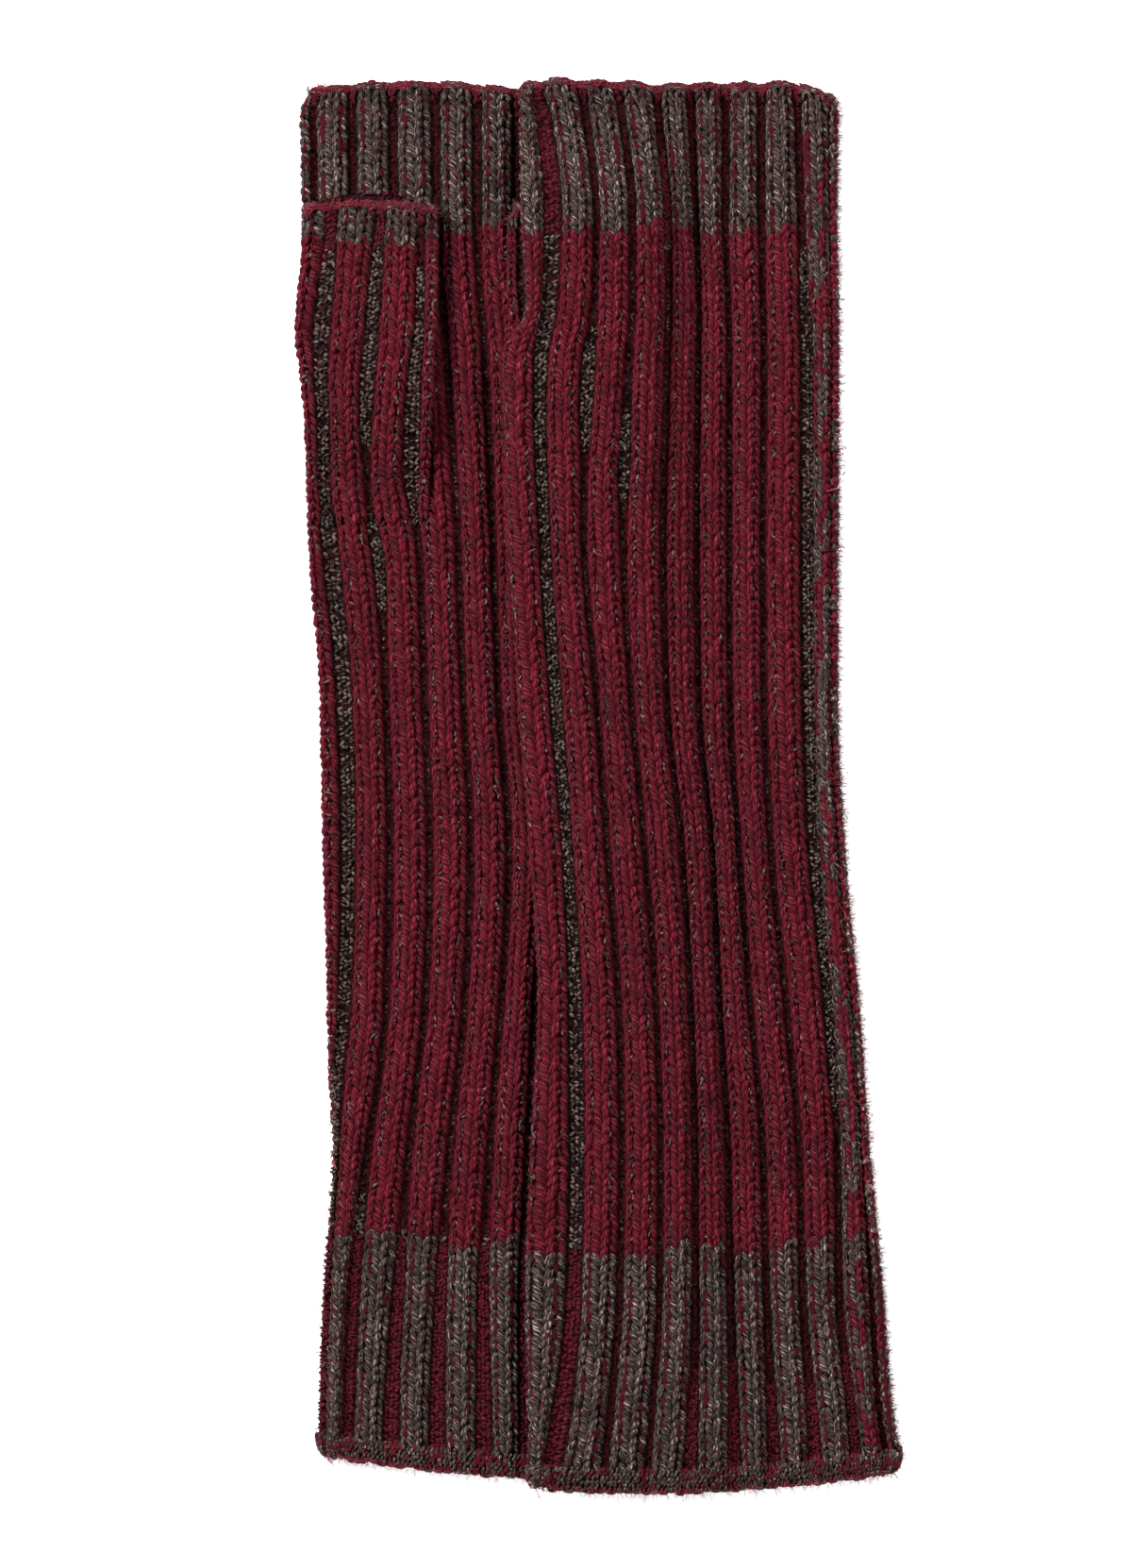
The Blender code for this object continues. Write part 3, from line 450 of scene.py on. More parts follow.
def right_floor(x, s):
    """The right warmer lies on the left one, on its own tucked thumb and on the surface."""
    left, right = side_folds(RIGHT_THUMB_TABLE, s)
    start, up = TUCK_RISE
    across = ease((x - left + start) / (start - up)) * ease((right + TUCK_RUN - x) / TUCK_RUN)
    along = ease((s - TUCK_START[0]) / (TUCK_START[1] - TUCK_START[0]))
    along = along * (1 - ease((s - THUMB_SEAM) / (TUCK_END - THUMB_SEAM)))
    rise = thumb_lift(TUCKED_CLOTH, s) + right_thumb_rib(x, s) + GAP
    return over_left(x, s) + rise * across * along


def right_base(x, s):
    return right_floor(x, s) + two_walls(BODY_CLOTH)


class Tube:
    """One knitted tube laid flat, as a grid of its outer skin in knit coordinates."""

    def __init__(self, name, cloth, lines, front, back, heights, corners, open_end, folds, rows):
        self.name = name
        self.cloth = cloth
        self.lines = lines
        self.front = front
        self.back = back
        self.floor, self.base, self.rib = heights
        self.corners = corners
        self.widths = FURROW_WIDTHS[name]
        self.open_end = open_end
        self.folds = folds  # ribs that go round the left and the right side fold
        self.rows = rows
        self.names = [column for column in lines if column != "s"]
        self.last = len(self.names) - 1

    def furrow_mm(self, line, s):
        """Width of a furrow that shows."""
        return np.interp(s, *self.widths.get(line, self.widths.get(0)))

    def half_furrow(self, line, rib, v):
        """Half a furrow's width as a share of the rib beside it, for all rows."""
        s = self.down(0.5, v, 1)
        places = self.places(s[:, 0])
        room = places[:, rib + 1] - places[:, rib]
        return np.clip(self.furrow_mm(line, s) / 2 / room[:, None], *FURROW_SHARE)

    def lay(self, inset):
        """Works the grid, with the skin lying inset below the stitches' outside."""
        self.inset = inset
        v = np.linspace(0.0, 1.0, self.rows + 1)[:, None]
        parts = []
        self.ribs = []  # start and end of each rib between its furrows at all rows, and its kind
        dense = 1 - np.cos(np.linspace(0.0, math.pi / 2, FOLD_POINTS))
        low = UNDER_FURROW + 0 * v[:, 0]
        s = self.down(0.5, v, 1)[:, 0]
        for side in (0, 1):
            count = self.folds[side]
            line = 1 if side == 0 else self.last - 1
            start = self.half_furrow(line, 0 if side == 0 else line, v)
            c = dense if side == 0 else self.last - dense
            over = self.outer(c[None, :], v, False, self.fold_relief(dense, count, start))
            under = self.outer(c[None, :], v, True, self.fold_relief(dense, count, UNDER_FURROW))
            chain = [under[:, ::-1], over[:, 1:]] if side == 0 else [over[:, ::-1], under[:, 1:]]
            part, length = self.even(np.concatenate(chain, axis=1), count * SAMPLES, HIDDEN_SHARE[count])
            parts.append(part)
            near = self.furrow_mm(line, s) / 2 / (length * (1 if count == 1 else 1 - HIDDEN_SHARE[2]))
            if count == 2:
                self.ribs += [(low, 1 - low, "fold"), (low, 1 - near, "fold")]
            else:
                self.ribs.append((low, 1 - near, "fold") if side == 0 else (near, 1 - low, "fold"))
            if side == 0:
                for line in range(1, self.last - 1):
                    start = self.half_furrow(line, line, v)
                    end = 1 - self.half_furrow(line + 1, line, v)
                    parts.append(self.rib_skin(line, v, False, start, end))
                    self.ribs.append((start[:, 0], end[:, 0], "front"))
        for line in range(self.last - 2, 0, -1):
            parts.append(self.rib_skin(line, v, True, UNDER_FURROW, 1 - UNDER_FURROW))
            self.ribs.append((low, 1 - low, "under"))
        self.skin = np.concatenate(parts, axis=1)
        self.round = self.skin.shape[1]
        assert self.round == len(self.ribs) * SAMPLES
        wrapped = np.concatenate([self.skin[:, -1:], self.skin, self.skin[:, :1]], axis=1)
        across = (wrapped[:, 2:] - wrapped[:, :-2]) / 2
        down = np.gradient(self.skin, axis=0)
        facing = np.cross(down, across)
        normal = sum(share * np.roll(facing, turn, axis=1) for turn, share in NORMAL_SHARES)
        self.normal = normal / np.linalg.norm(normal, axis=2, keepdims=True)
        self.across = np.linalg.norm(across, axis=2) * SAMPLES  # mm for a rib
        self.down_mm = np.linalg.norm(down, axis=2)  # mm for a row
        return self

    def span(self, number, r):
        """Where a rib starts and ends at the rows r, as shares of its width."""
        start, end = self.ribs[number % len(self.ribs)][:2]
        rows = np.arange(self.rows + 1)
        return np.interp(r, rows, start), np.interp(r, rows, end)

    def covered(self, q, r):
        """True where another tube hides this one's stitches for good."""
        if not self.open_end:
            return np.zeros(len(r), bool)
        point = self.at(q, r, np.zeros(len(r)))
        x, s = point[:, 0] + MIDDLE_X, MIDDLE_S - point[:, 1]
        inner = (r > RIM_SHOWS) & (r < self.rows - RIM_SHOWS)
        turned = sum(self.folds) + self.last - 2  # q from which the ribs lie on the underside
        if self.name == "right_body":
            return (q % len(self.ribs) > turned) & inner & (x < side_folds(LEFT_TABLE, s)[1] - LAP_SHOWS[0])
        lapped = inner & (x > side_folds(RIGHT_TABLE, s)[0] + LAP_SHOWS[1])
        left, right = side_folds(LEFT_THUMB_TABLE, s)
        top, end, bottom = COVERED_ROWS
        inside = np.where(s < end, *THUMB_SHOWS)
        under_thumb = (s > top) & (s < bottom) & (x > left + inside) & (x < right - inside)
        return (q % len(self.ribs) < turned) & (lapped | under_thumb)

    def fold_relief(self, c, count, furrow):
        """Relief beside a side fold: c is 0 at the fold and 1 at the first furrow."""
        if count == 1:
            return 1 - np.clip(c / (1 - furrow), 0, 1) ** RIB_ROUND
        share = np.clip((c - UNDER_FURROW) / (1 - furrow - UNDER_FURROW), 0, 1)
        away = abs(2 * share - 1) ** RIB_ROUND
        return np.where(share < 0.5, 1 - FOLD_RELIEF * away, 1 - away)

    def rib_skin(self, line, v, under, start, end):
        """Points of one rib, which starts and ends at these shares of the room between its lines."""
        share = np.arange(SAMPLES) / SAMPLES
        c = (line + 1 - share) if under else (line + share)
        return self.outer(c[None, :], v, under, rib_relief((c - line - start) / (end - start)))

    def even(self, chain, count, hidden):
        """Points at even steps of the chain, and its length. Its first half takes the share hidden."""
        step = np.linalg.norm(np.diff(chain, axis=1), axis=2)
        run = np.concatenate([np.zeros((len(chain), 1)), np.cumsum(step, axis=1)], axis=1)
        out = np.empty((len(chain), count, 3))
        share = np.interp(np.arange(count) / count, (0, 0.5, 1), (0, hidden, 1))
        for row, (places, length) in enumerate(zip(chain, run)):
            for axis in range(3):
                out[row, :, axis] = np.interp(share * length[-1], length, places[:, axis])
        return out, run[:, -1]

    def places(self, s):
        return np.stack([smooth(self.lines["s"], self.lines[name], s) for name in self.names], axis=-1)

    def pick(self, places, c):
        """x at the rib coordinates c."""
        c = np.broadcast_to(c, places.shape[:-1])
        i = np.clip(c.astype(int), 0, self.last - 1)
        low = np.take_along_axis(places, i[..., None], -1)[..., 0]
        high = np.take_along_axis(places, i[..., None] + 1, -1)[..., 0]
        return low + (high - low) * (c - i)

    def down(self, u, v, side):
        near = rim_arc(self.back.hand, u) * (1 - side) + rim_arc(self.front.hand, u) * side + LIP
        near = near + np.interp(u, *HAND_SAG[self.name])
        far = rim_arc(self.back.far, u) * (1 - side) + rim_arc(self.front.far, u) * side
        if self.open_end:
            far = far - LIP
        return near + v * (far - near)

    def settled(self, c, v, under):
        """x and s on the laid tube, and the distances from its folds and rims."""
        middle = self.places(self.down(0.5, v, 0 if under else 1))
        middle = np.broadcast_to(middle, v.shape[:1] + (c.shape[-1],) + middle.shape[-1:])
        width = middle[..., -1] - middle[..., 0]
        u = (self.pick(middle, c) - middle[..., 0]) / width
        turn = fold_arch(np.minimum(u, 1 - u) * width / (FOLD_BACK if under else FOLD_FRONT))
        side = 0.5 + (-0.5 if under else 0.5) * turn
        s = self.down(u, v, side)
        places = self.places(s)
        x = self.pick(places, c)
        left, right = places[..., 0], places[..., -1]
        near = s - self.down(u, 0.0, side)
        far = self.down(u, 1.0, side) - s
        hand_left, hand_right, far_left, far_right = self.corners
        left_in = np.maximum(corner_inset(hand_left, near), corner_inset(far_left, far))
        right_in = np.maximum(corner_inset(hand_right, near), corner_inset(far_right, far))
        give_left = np.clip(1 - (x - left) / CORNER_REACH, 0, None) ** 2
        give_right = np.clip(1 - (right - x) / CORNER_REACH, 0, None) ** 2
        x = x + left_in * give_left - right_in * give_right
        return x, s, x - left - left_in, right - right_in - x, near, far

    def outer(self, c, v, under, relief):
        """Points of the shell's outer skin, in millimetres of the part's frame."""
        x, s, to_left, to_right, near, far = self.settled(c, v, under)
        drop = np.interp(near, BOUND_OFF_RIM.distance, BOUND_OFF_RIM.drop)
        kept = np.interp(near, BOUND_OFF_RIM.distance, BOUND_OFF_RIM.relief)
        if self.open_end:
            drop = drop + np.interp(far, CAST_ON_RIM.distance, CAST_ON_RIM.drop)
            kept = kept * np.interp(far, CAST_ON_RIM.distance, CAST_ON_RIM.relief)
        floor, base, rib = (at(x, s) for at in (self.floor, self.base, self.rib))
        middle = (floor + base + rib) / 2
        flat = (base - floor) / two_walls(self.cloth)
        if under:
            skin = floor + (self.inset + BACK_RELIEF * (1 - relief)) * flat
        else:
            sunk = self.inset * (FLOOR_INSET + (1 - FLOOR_INSET) * relief) * flat
            skin = base + rib - drop - rib * (1 - relief) * kept - sunk
        arch = fold_arch(np.minimum(to_left, to_right) / (FOLD_BACK if under else FOLD_FRONT))
        z = middle + (skin - middle) * arch
        drawn = [np.clip(1 - distance / FOLD_DRAW, 0, 1) ** 2 for distance in (to_left, to_right)]
        x = x + self.inset * (drawn[0] - drawn[1])
        return np.stack([x - MIDDLE_X, MIDDLE_S - s, z], axis=-1)

    def inner(self, rows):
        """The slit's two walls under the outer skin's points, at some of the rows."""
        skin = self.skin[rows]
        s = MIDDLE_S - skin[..., 1]
        x = skin[..., 0] + MIDDLE_X
        left, right = side_folds(self.lines, s)
        side = self.cloth.side + SLIT_MARGIN
        x_in = left + side + (x - left) * (1 - 2 * side / (right - left))
        floor, base = self.floor(x_in, s), self.base(x_in, s)
        flat = (base - floor) / two_walls(self.cloth)
        middle = floor + (self.cloth.back + self.cloth.slit / 2) * flat
        middle_out = (floor + base + self.rib(x_in, s)) / 2
        up = np.clip((skin[..., 2] - middle_out) / SLIT_TURN, -1, 1)
        z = middle + self.cloth.slit / 2 * flat * up
        return np.stack([x_in - MIDDLE_X, skin[..., 1], z], axis=-1)

    def at(self, q, r, h):
        """Points at knit coordinates. Rows beyond a rim go on in the cloth's direction."""
        place = (q % len(self.ribs)) * SAMPLES
        i = place.astype(int) % self.round
        f = (place - np.floor(place))[..., None]
        j = np.clip(np.floor(r).astype(int), 0, self.rows - 1)
        g = (r - j)[..., None]
        k = (i + 1) % self.round

        def between(grid, g):
            return ((grid[j, i] * (1 - f) + grid[j, k] * f) * (1 - g)
                    + (grid[j + 1, i] * (1 - f) + grid[j + 1, k] * f) * g)

        normal = between(self.normal, np.clip(g, 0, 1))
        normal /= np.linalg.norm(normal, axis=-1, keepdims=True)
        return between(self.skin, g) + normal * h[..., None]

    def scale(self, q, r):
        """Millimetres for a rib and for a row, at knit coordinates."""
        i = ((q % len(self.ribs)) * SAMPLES).astype(int) % self.round
        j = np.clip(np.round(r).astype(int), 0, self.rows)
        return np.maximum(self.across[j, i], LEAST_RIB), self.down_mm[j, i]


def make_tubes(inset):
    left = Tube("left_body", BODY_CLOTH, LEFT_TABLE, LEFT_RIMS, LEFT_RIMS,
                (level(0), level(two_walls(BODY_CLOTH)), left_rib), LEFT_CORNERS,
                True, (1, 1), BODY_ROWS)
    right = Tube("right_body", BODY_CLOTH, RIGHT_TABLE, RIGHT_RIMS, RIGHT_RIMS,
                 (right_floor, right_base, level(BODY_CLOTH.rib)), RIGHT_CORNERS,
                 True, (2, 1), BODY_ROWS)
    end = (THUMB_SEAM - GAP,) * 3
    front, back = Rims(THUMB_FRONT_RIM, end), Rims(THUMB_BACK_RIM, end)
    left_thumb = Tube("left_thumb", THUMB_CLOTH, LEFT_THUMB_TABLE, front, back,
                      (left_thumb_floor, left_thumb_base, left_thumb_rib), THUMB_CORNERS,
                      False, (1, 1), THUMB_ROWS)
    right_thumb = Tube("right_thumb", TUCKED_CLOTH, RIGHT_THUMB_TABLE, front, back,
                       (over_left, right_thumb_base, right_thumb_rib), THUMB_CORNERS,
                       False, (1, 1), THUMB_ROWS)
    tubes = (left, left_thumb, right, right_thumb)
    return {tube.name: tube.lay(inset * INSET_SHARE[tube.name]) for tube in tubes}


class Skein:
    """Gathers strands of yarn laid on a tube, and makes one mesh of them."""

    def __init__(self, tube, chance):
        self.tube = tube
        self.chance = chance
        self.batches = []

    def lay(self, shape, start, end, width, height, yarn, mix=0.0, base=0.0, sway=0.0, kept=True):
        """Strands from start to end, each arrays q and r, where kept. Widths and heights are mm."""
        *given, kept = np.broadcast_arrays(*start, *end, width, height, base, sway, yarn, mix, kept)
        given = [values[kept].astype(float)[:, None, None] for values in given]
        q0, r0, q1, r1, width, height, base, sway, yarn, mix = given
        if not len(q0):
            return
        rib_mm, row_mm = self.tube.scale((q0 + q1) / 2, (r0 + r1) / 2)
        t, wide, high = (np.array(part)[:, None] for part in (shape.along, shape.width, shape.lift))
        angle = np.radians(shape.around)
        hair = len(angle) == 2  # a flat strip, whose sides are as high as its middle
        section = 1 + 0 * angle if hair else SECTION_FOOT + (1 - SECTION_FOOT) * np.cos(angle)
        run_q, run_r = (q1 - q0) * rib_mm, (r1 - r0) * row_mm
        length = np.hypot(run_q, run_r)
        across = width * wide * np.sin(angle) + sway * (4 * t * (1 - t))
        q = q0 + (q1 - q0) * t + across * (run_r / length / rib_mm)
        r = r0 + (r1 - r0) * t + across * (-run_q / length / row_mm)
        points = self.tube.at(q, r, base + height * (high * section))
        points[..., 2] = np.maximum(points[..., 2], LOWEST)
        tone = self.chance.normal(0.0, 1.0, len(q0)).clip(-2, 2)
        self.batches.append((shape, points, length, yarn.ravel(), mix.ravel(), tone))

    def lay_at(self, shape, q, r, run_q, run_r, *rest, **more):
        """Strands with their middles at q and r, which go on from there by run_q and -run_r."""
        self.lay(shape, (q - run_q, r + run_r), (q + run_q, r - run_r), *rest, **more)

    def mesh(self, name, materials):
        """One mesh of all strands."""
        total = sum(len(batch[1]) for batch in self.batches)
        columns = int(math.ceil(math.sqrt(total * CELLS_WIDE)))
        lines = int(math.ceil(total / columns))
        verts, quads, slots, cells, strand, mixes, tones = ([] for _ in range(7))
        first = cell = 0
        for shape, points, length, yarn, mix, tone in self.batches:
            n, rings, around = points.shape[:3]
            strands, ring, side = np.ogrid[:n, :rings, :around]
            corner = (first + (strands * rings + ring) * around + side)[:, :-1, :-1]
            turns = (0, around, around + 1, 1)
            quads.append(np.stack([corner + turn for turn in turns], -1).reshape(-1, 4))
            slots.append(np.repeat(yarn, (rings - 1) * (around - 1)))
            verts.append(points.reshape(-1, 3))
            index = cell + strands
            t = np.array(shape.along)[:, None] + 0 * (strands + side)
            w = side / (around - 1) + 0 * t
            u = (index % columns + CELL_MARGIN + (1 - 2 * CELL_MARGIN) * w) / columns
            v = (index // columns + CELL_MARGIN + (1 - 2 * CELL_MARGIN) * t) / lines
            cells.append(np.stack([u, v], -1).reshape(-1, 2))
            strand.append(np.stack([t * length, w], -1).reshape(-1, 2))
            mixes.append(np.repeat(mix, rings * around))
            tones.append(np.repeat(tone, rings * around))
            first += n * rings * around
            cell += n
        verts, quads = np.concatenate(verts), np.concatenate(quads)
        maps = {"OFBake": np.concatenate(cells), "strand": np.concatenate(strand)}
        values = {"mix": np.concatenate(mixes), "tone": np.concatenate(tones)}
        return make_piece(name, verts, quads, materials, np.concatenate(slots), maps, values)


def placed(name, data):
    """A new object of this name, linked to the scene."""
    thing = bpy.data.objects.new(name, data)
    bpy.context.scene.collection.objects.link(thing)
    return thing


def make_piece(name, verts, quads, materials, slots, maps, values):
    """An object of quads with its maps and values on points, which rides with the pair."""
    mesh = bpy.data.meshes.new(name)
    mesh.vertices.add(len(verts))
    mesh.vertices.foreach_set("co", (verts * MM).astype(np.float32).ravel())
    mesh.loops.add(quads.size)
    mesh.loops.foreach_set("vertex_index", quads.astype(np.int32).ravel())
    mesh.polygons.add(len(quads))
    mesh.polygons.foreach_set("loop_start", np.arange(0, quads.size, 4, dtype=np.int32))
    mesh.update(calc_edges=True)
    mesh.polygons.foreach_set("material_index", slots.astype(np.int32))
    mesh.polygons.foreach_set("use_smooth", np.full(len(quads), True))
    for title, places in maps.items():
        layer = mesh.uv_layers.new(name=title)
        at_loops = places if len(places) == quads.size else places[quads.ravel()]
        layer.data.foreach_set("uv", at_loops.astype(np.float32).ravel())
    for title, data in values.items():
        mesh.attributes.new(title, "FLOAT", "POINT").data.foreach_set("value", data.astype(np.float32))
    for material in materials:
        mesh.materials.append(material)
    if mesh.validate():
        raise RuntimeError(name + " has faces that are not valid")
    thing = placed(name, mesh)
    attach(thing, BODY)
    return thing


class Socket:
    """A shader value with Python's arithmetic."""

    def __init__(self, shader, link):
        self.shader = shader
        self.link = link

    def math(self, operation, *others):
        values = {i: value for i, value in enumerate((self,) + others)}
        return self.shader.node("ShaderNodeMath", {"operation": operation}, values)

    def __add__(self, other):
        return self.math("ADD", other)

    __radd__ = __add__

    def __mul__(self, other):
        return self.math("MULTIPLY", other)

    __rmul__ = __mul__

    def __sub__(self, other):
        return self.math("SUBTRACT", other)

    def __rsub__(self, other):
        return self * -1.0 + other

    def sine(self):
        return self.math("SINE")

    def clamped(self):
        return self.math("MINIMUM", 1.0).math("MAXIMUM", 0.0)

    def ramp(self, low, high):
        """0 below low and 1 above high, with a smooth step between."""
        return self.shader.node("ShaderNodeMapRange", {"interpolation_type": "SMOOTHSTEP"},
                                {"Value": self, "From Min": low, "From Max": high})


class Shader:
    """A material's nodes, made one by one."""

    def __init__(self, name):
        self.material = bpy.data.materials.new(name)
        self.material.use_nodes = True
        self.tree = self.material.node_tree
        self.surface = self.tree.nodes["Principled BSDF"]

    def node(self, kind, settings, values, output=0):
        made = self.tree.nodes.new(kind)
        for key, value in settings.items():
            setattr(made, key, value)
        for key, value in values.items():
            if isinstance(value, Socket):
                self.tree.links.new(value.link, made.inputs[key])
            else:
                made.inputs[key].default_value = value
        return Socket(self, made.outputs[output])

    def feed(self, key, value):
        if isinstance(value, Socket):
            self.tree.links.new(value.link, self.surface.inputs[key])
        else:
            self.surface.inputs[key].default_value = value

    def mix(self, factor, first, second):
        settings = {"data_type": "RGBA"}
        return self.node("ShaderNodeMix", settings, {0: factor, 6: first, 7: second}, output=2)

    def attribute(self, name):
        return self.node("ShaderNodeAttribute", {"attribute_name": name}, {}, output=2)

    def noise(self, vector, scale, detail=2.0, roughness=0.5):
        return self.node("ShaderNodeTexNoise", {},
                         {"Vector": vector, "Scale": scale, "Detail": detail, "Roughness": roughness})

    def on_object(self):
        return self.node("ShaderNodeTexCoord", {}, {}, output=3)

    def vector(self, x, y, z):
        return self.node("ShaderNodeCombineXYZ", {}, {0: x, 1: y, 2: z})

    def emboss(self, strength, distance, height):
        """Bumps of this height over the surface. The distance is in mm."""
        values = {"Strength": strength, "Distance": distance * MM, "Height": height}
        self.feed("Normal", self.node("ShaderNodeBump", {}, values))

    def wool(self, sheen, roughness, gloss=0.06):
        """What all wool has alike."""
        self.feed("Roughness", roughness)
        self.feed("Specular IOR Level", gloss)
        self.feed("Sheen Weight", sheen)
        self.feed("Sheen Roughness", 0.45)


def spun_yarn(name, dark, middle, light, other, sheen, marl):
    """Two plies twisted together, with fibres of several tones, streaks of the other yarn, and painted
    shade in the grooves between the plies and between the fibres.
    """
    shader = Shader(name)
    strand = shader.node("ShaderNodeUVMap", {"uv_map": "strand"}, {})
    along = shader.node("ShaderNodeSeparateXYZ", {}, {0: strand})
    around = Socket(shader, along.link.node.outputs[1])
    tone, mix = shader.attribute("tone"), shader.attribute("mix")
    twist = along * TWIST_ALONG - around * TWIST_ACROSS + tone * 3.7
    ply = (twist * (2 * math.pi)).sine() * 0.5 + 0.5
    fibre = shader.noise(shader.vector(twist * 1.5, along * 0.4, tone * 11.0), 1.9, 3.0, 0.6)
    colour = shader.mix(fibre.ramp(0.53, 0.7) * marl, middle, light)
    streaks = shader.noise(shader.vector(along * 0.5, around * 1.6, tone * 29.0), 1.3)
    colour = shader.mix((streaks + mix - 0.5).ramp(0.46, 0.58), colour, other)
    # Painted shade: the dark colour laid into the grooves between the plies and between the fibres.
    shade_between_fibres = fibre.ramp(0.5, 0.32)
    colour = shader.mix((shade_between_fibres * 0.75 + (1 - ply) * 0.65).clamped(), colour, dark)
    cloud = shader.noise(shader.on_object(), 70.0)
    shade = (tone * 0.2 + (cloud - 0.5) * 1.1 + 0.2).clamped()
    colour = shader.mix(shade * 0.8, colour, dark)
    shader.feed("Base Color", colour)
    shader.emboss(0.9, 0.4, ply * 0.6 + fibre * 0.7)
    shader.wool(sheen, 0.88)
    return shader.material


def shaded_ground_cloth(name, wine, grey):
    """The inside of the knitting, seen between the strands and inside the rims, coloured with painted
    shade: darkened copies of both yarns, spotted with near-black.
    """
    shader = Shader(name)
    place = shader.on_object()
    cells = shader.node("ShaderNodeTexVoronoi", {"feature": "F1"}, {"Vector": place, "Scale": 620.0})
    fluff = shader.noise(place, 900.0, 3.0, 0.6)
    colour = shader.mix(shader.attribute("band"), grey, wine)
    # Painted shade: near-black patches where the fluff noise is high.
    colour = shader.mix(fluff.ramp(0.35, 0.7), colour, (0.002, 0.001, 0.001, 1.0))
    shader.feed("Base Color", colour)
    shader.emboss(0.7, 0.5, fluff * 0.4 - cells * 1.2)
    shader.wool(0.0, 0.95, 0.0)
    return shader.material


def loose_fibre(name, wine, grey):
    """Single hairs of both yarns."""
    shader = Shader(name)
    colour = shader.mix(shader.attribute("mix"), wine, grey)
    shade = (shader.noise(shader.on_object(), 300.0) * 0.5 + shader.attribute("tone") * 0.1).clamped()
    shader.feed("Base Color", shader.mix(shade, colour, (0.02, 0.01, 0.01, 1.0)))
    shader.wool(0.3, 0.8)
    return shader.material


def a_colour(name, description, default):
    return bpy.props.FloatVectorProperty(name=name, description=description, default=(*default, 1.0),
                                         subtype="COLOR", size=4, min=0, max=1)


def a_share(name, description, default, least=0.0, most=1.0):
    return bpy.props.FloatProperty(name=name, description=description, default=default,
                                   min=least, max=most, subtype="FACTOR")


def a_length(name, description, default):
    return bpy.props.FloatProperty(name=name, description=description, default=default,
                                   min=0, unit="LENGTH", precision=5)


def a_number(name, description, default, **more):
    return bpy.props.FloatProperty(name=name, description=description, default=default, min=0, **more)


def a_count(name, description, default):
    return bpy.props.IntProperty(name=name, description=description, default=default, min=0)


class YarnColours(bpy.types.PropertyGroup):
    wine: a_colour("Wine", "Wool that shows on the long ribs", (0.12, 0.0053, 0.0142))
    wine_light: a_colour("Wine, light", "Its lightest fibres", (0.26, 0.042, 0.06))
    # The dark colours are the darkest fibres, and also the painted shade in the grooves between plies and
    # fibres.
    wine_dark: a_colour("Wine, dark", "Its darkest fibres", (0.018, 0.001, 0.003))
    grey: a_colour("Grey", "Marled wool of the bands and furrows", (0.061, 0.0405, 0.0365))
    grey_light: a_colour("Grey, light", "Its lightest fibres", (0.45, 0.34, 0.295))
    # Also the grey's painted shade in its grooves.
    grey_dark: a_colour("Grey, dark", "Its darkest fibres", (0.006, 0.004, 0.004))
    sheen: a_share("Nap", "How much light the wool's nap catches", 0.03)


class KnitSizes(bpy.types.PropertyGroup):
    strand_height: a_length("Strand height", "How far a leg stands over the cloth", 1.15 * MM)
    inset: a_length("Shell inset", "How deep the shell lies under the stitches", 1.05 * MM)
    fullness: a_share("Fullness", "Width of a leg against the room it has", 0.74, 0.3, 1.5)
    unevenness: a_share("Unevenness", "How much stitches differ", 0.1, most=0.5)
    fleck_share: a_share("Flecks", "Share of stitches with a fleck of the other yarn", 0.5)
    fibre_count: a_count("Loose fibres", "Hairs that stand off each body", 8000)
    fibre_length: a_length("Fibre length", "Mean length of a loose fibre", 1.9 * MM)
    seed: a_count("Seed", "Start of the chance numbers", 7)


class StudioSettings(bpy.types.PropertyGroup):
    surface: a_colour("Surface", "Colour of what the pair lies on", (0.93, 0.93, 0.93))
    glow: a_number("Glow", "Light of the surface itself, which thins the shadows", 0.8)
    sky: a_number("Fill light", "Strength of the even light", 0.38)
    key: a_number("Key light", "Power of the large lamp", 129.0, unit="POWER")
    lens: a_number("Lens", "Focal length in millimetres", 200.0, subtype="DISTANCE_CAMERA")
    height: a_length("Camera height", "Above the surface", 2.0973)


TUBES = {}
YARNS = {}


def sizes():
    return bpy.context.scene.arm_warmer_knit


def laid_tube(name):
    """The tube of that name, worked once."""
    if not TUBES:
        TUBES.update(make_tubes(sizes().inset / MM))
    return TUBES[name]


def yarns():
    """The spun yarns, the ground and the loose fibres, made once."""
    if not YARNS:
        c = bpy.context.scene.arm_warmer_yarn
        YARNS["spun"] = [spun_yarn(name, *tones, c.sheen, marl) for name, tones, marl in (
            ("wine_wool", (c.wine_dark, c.wine, c.wine_light, c.grey), 0.8),
            ("grey_marl_wool", (c.grey_dark, c.grey, c.grey_light, dimmed(c.wine, 0.6)), 1.0),
            # A darkened copy of the wine: painted shade on the bumps in narrow furrows and on the flecks
            # between grey legs.
            ("deep_wine_wool", (c.wine_dark, dimmed(c.wine, 0.5), dimmed(c.wine, 0.8), c.grey), 0.6),
            ("pale_marl_wool", (c.grey, dimmed(c.grey_light, 0.36), c.grey_light, c.wine), 1.0),
        )]
        # The yarns' colours darkened here are painted shade for the gaps between the strands and inside the
        # rims.
        YARNS["ground"] = shaded_ground_cloth("inside_of_the_knitting", dimmed(c.wine, 0.5), dimmed(c.grey, 0.16))
        YARNS["fibre"] = loose_fibre("loose_wool_fibres", dimmed(c.wine_light, 0.8), c.grey)
    return YARNS


def in_band(tube, rows):
    """1 where the grey lies on the ribs, for an array of rows."""
    if not tube.open_end:
        return (rows < THUMB_BAND_ROWS).astype(int)
    far = FOREARM_BAND_ROWS[0 if tube.name == "left_body" else 1]
    return ((rows < HAND_BAND_ROWS) | (rows > tube.rows - far)).astype(int)


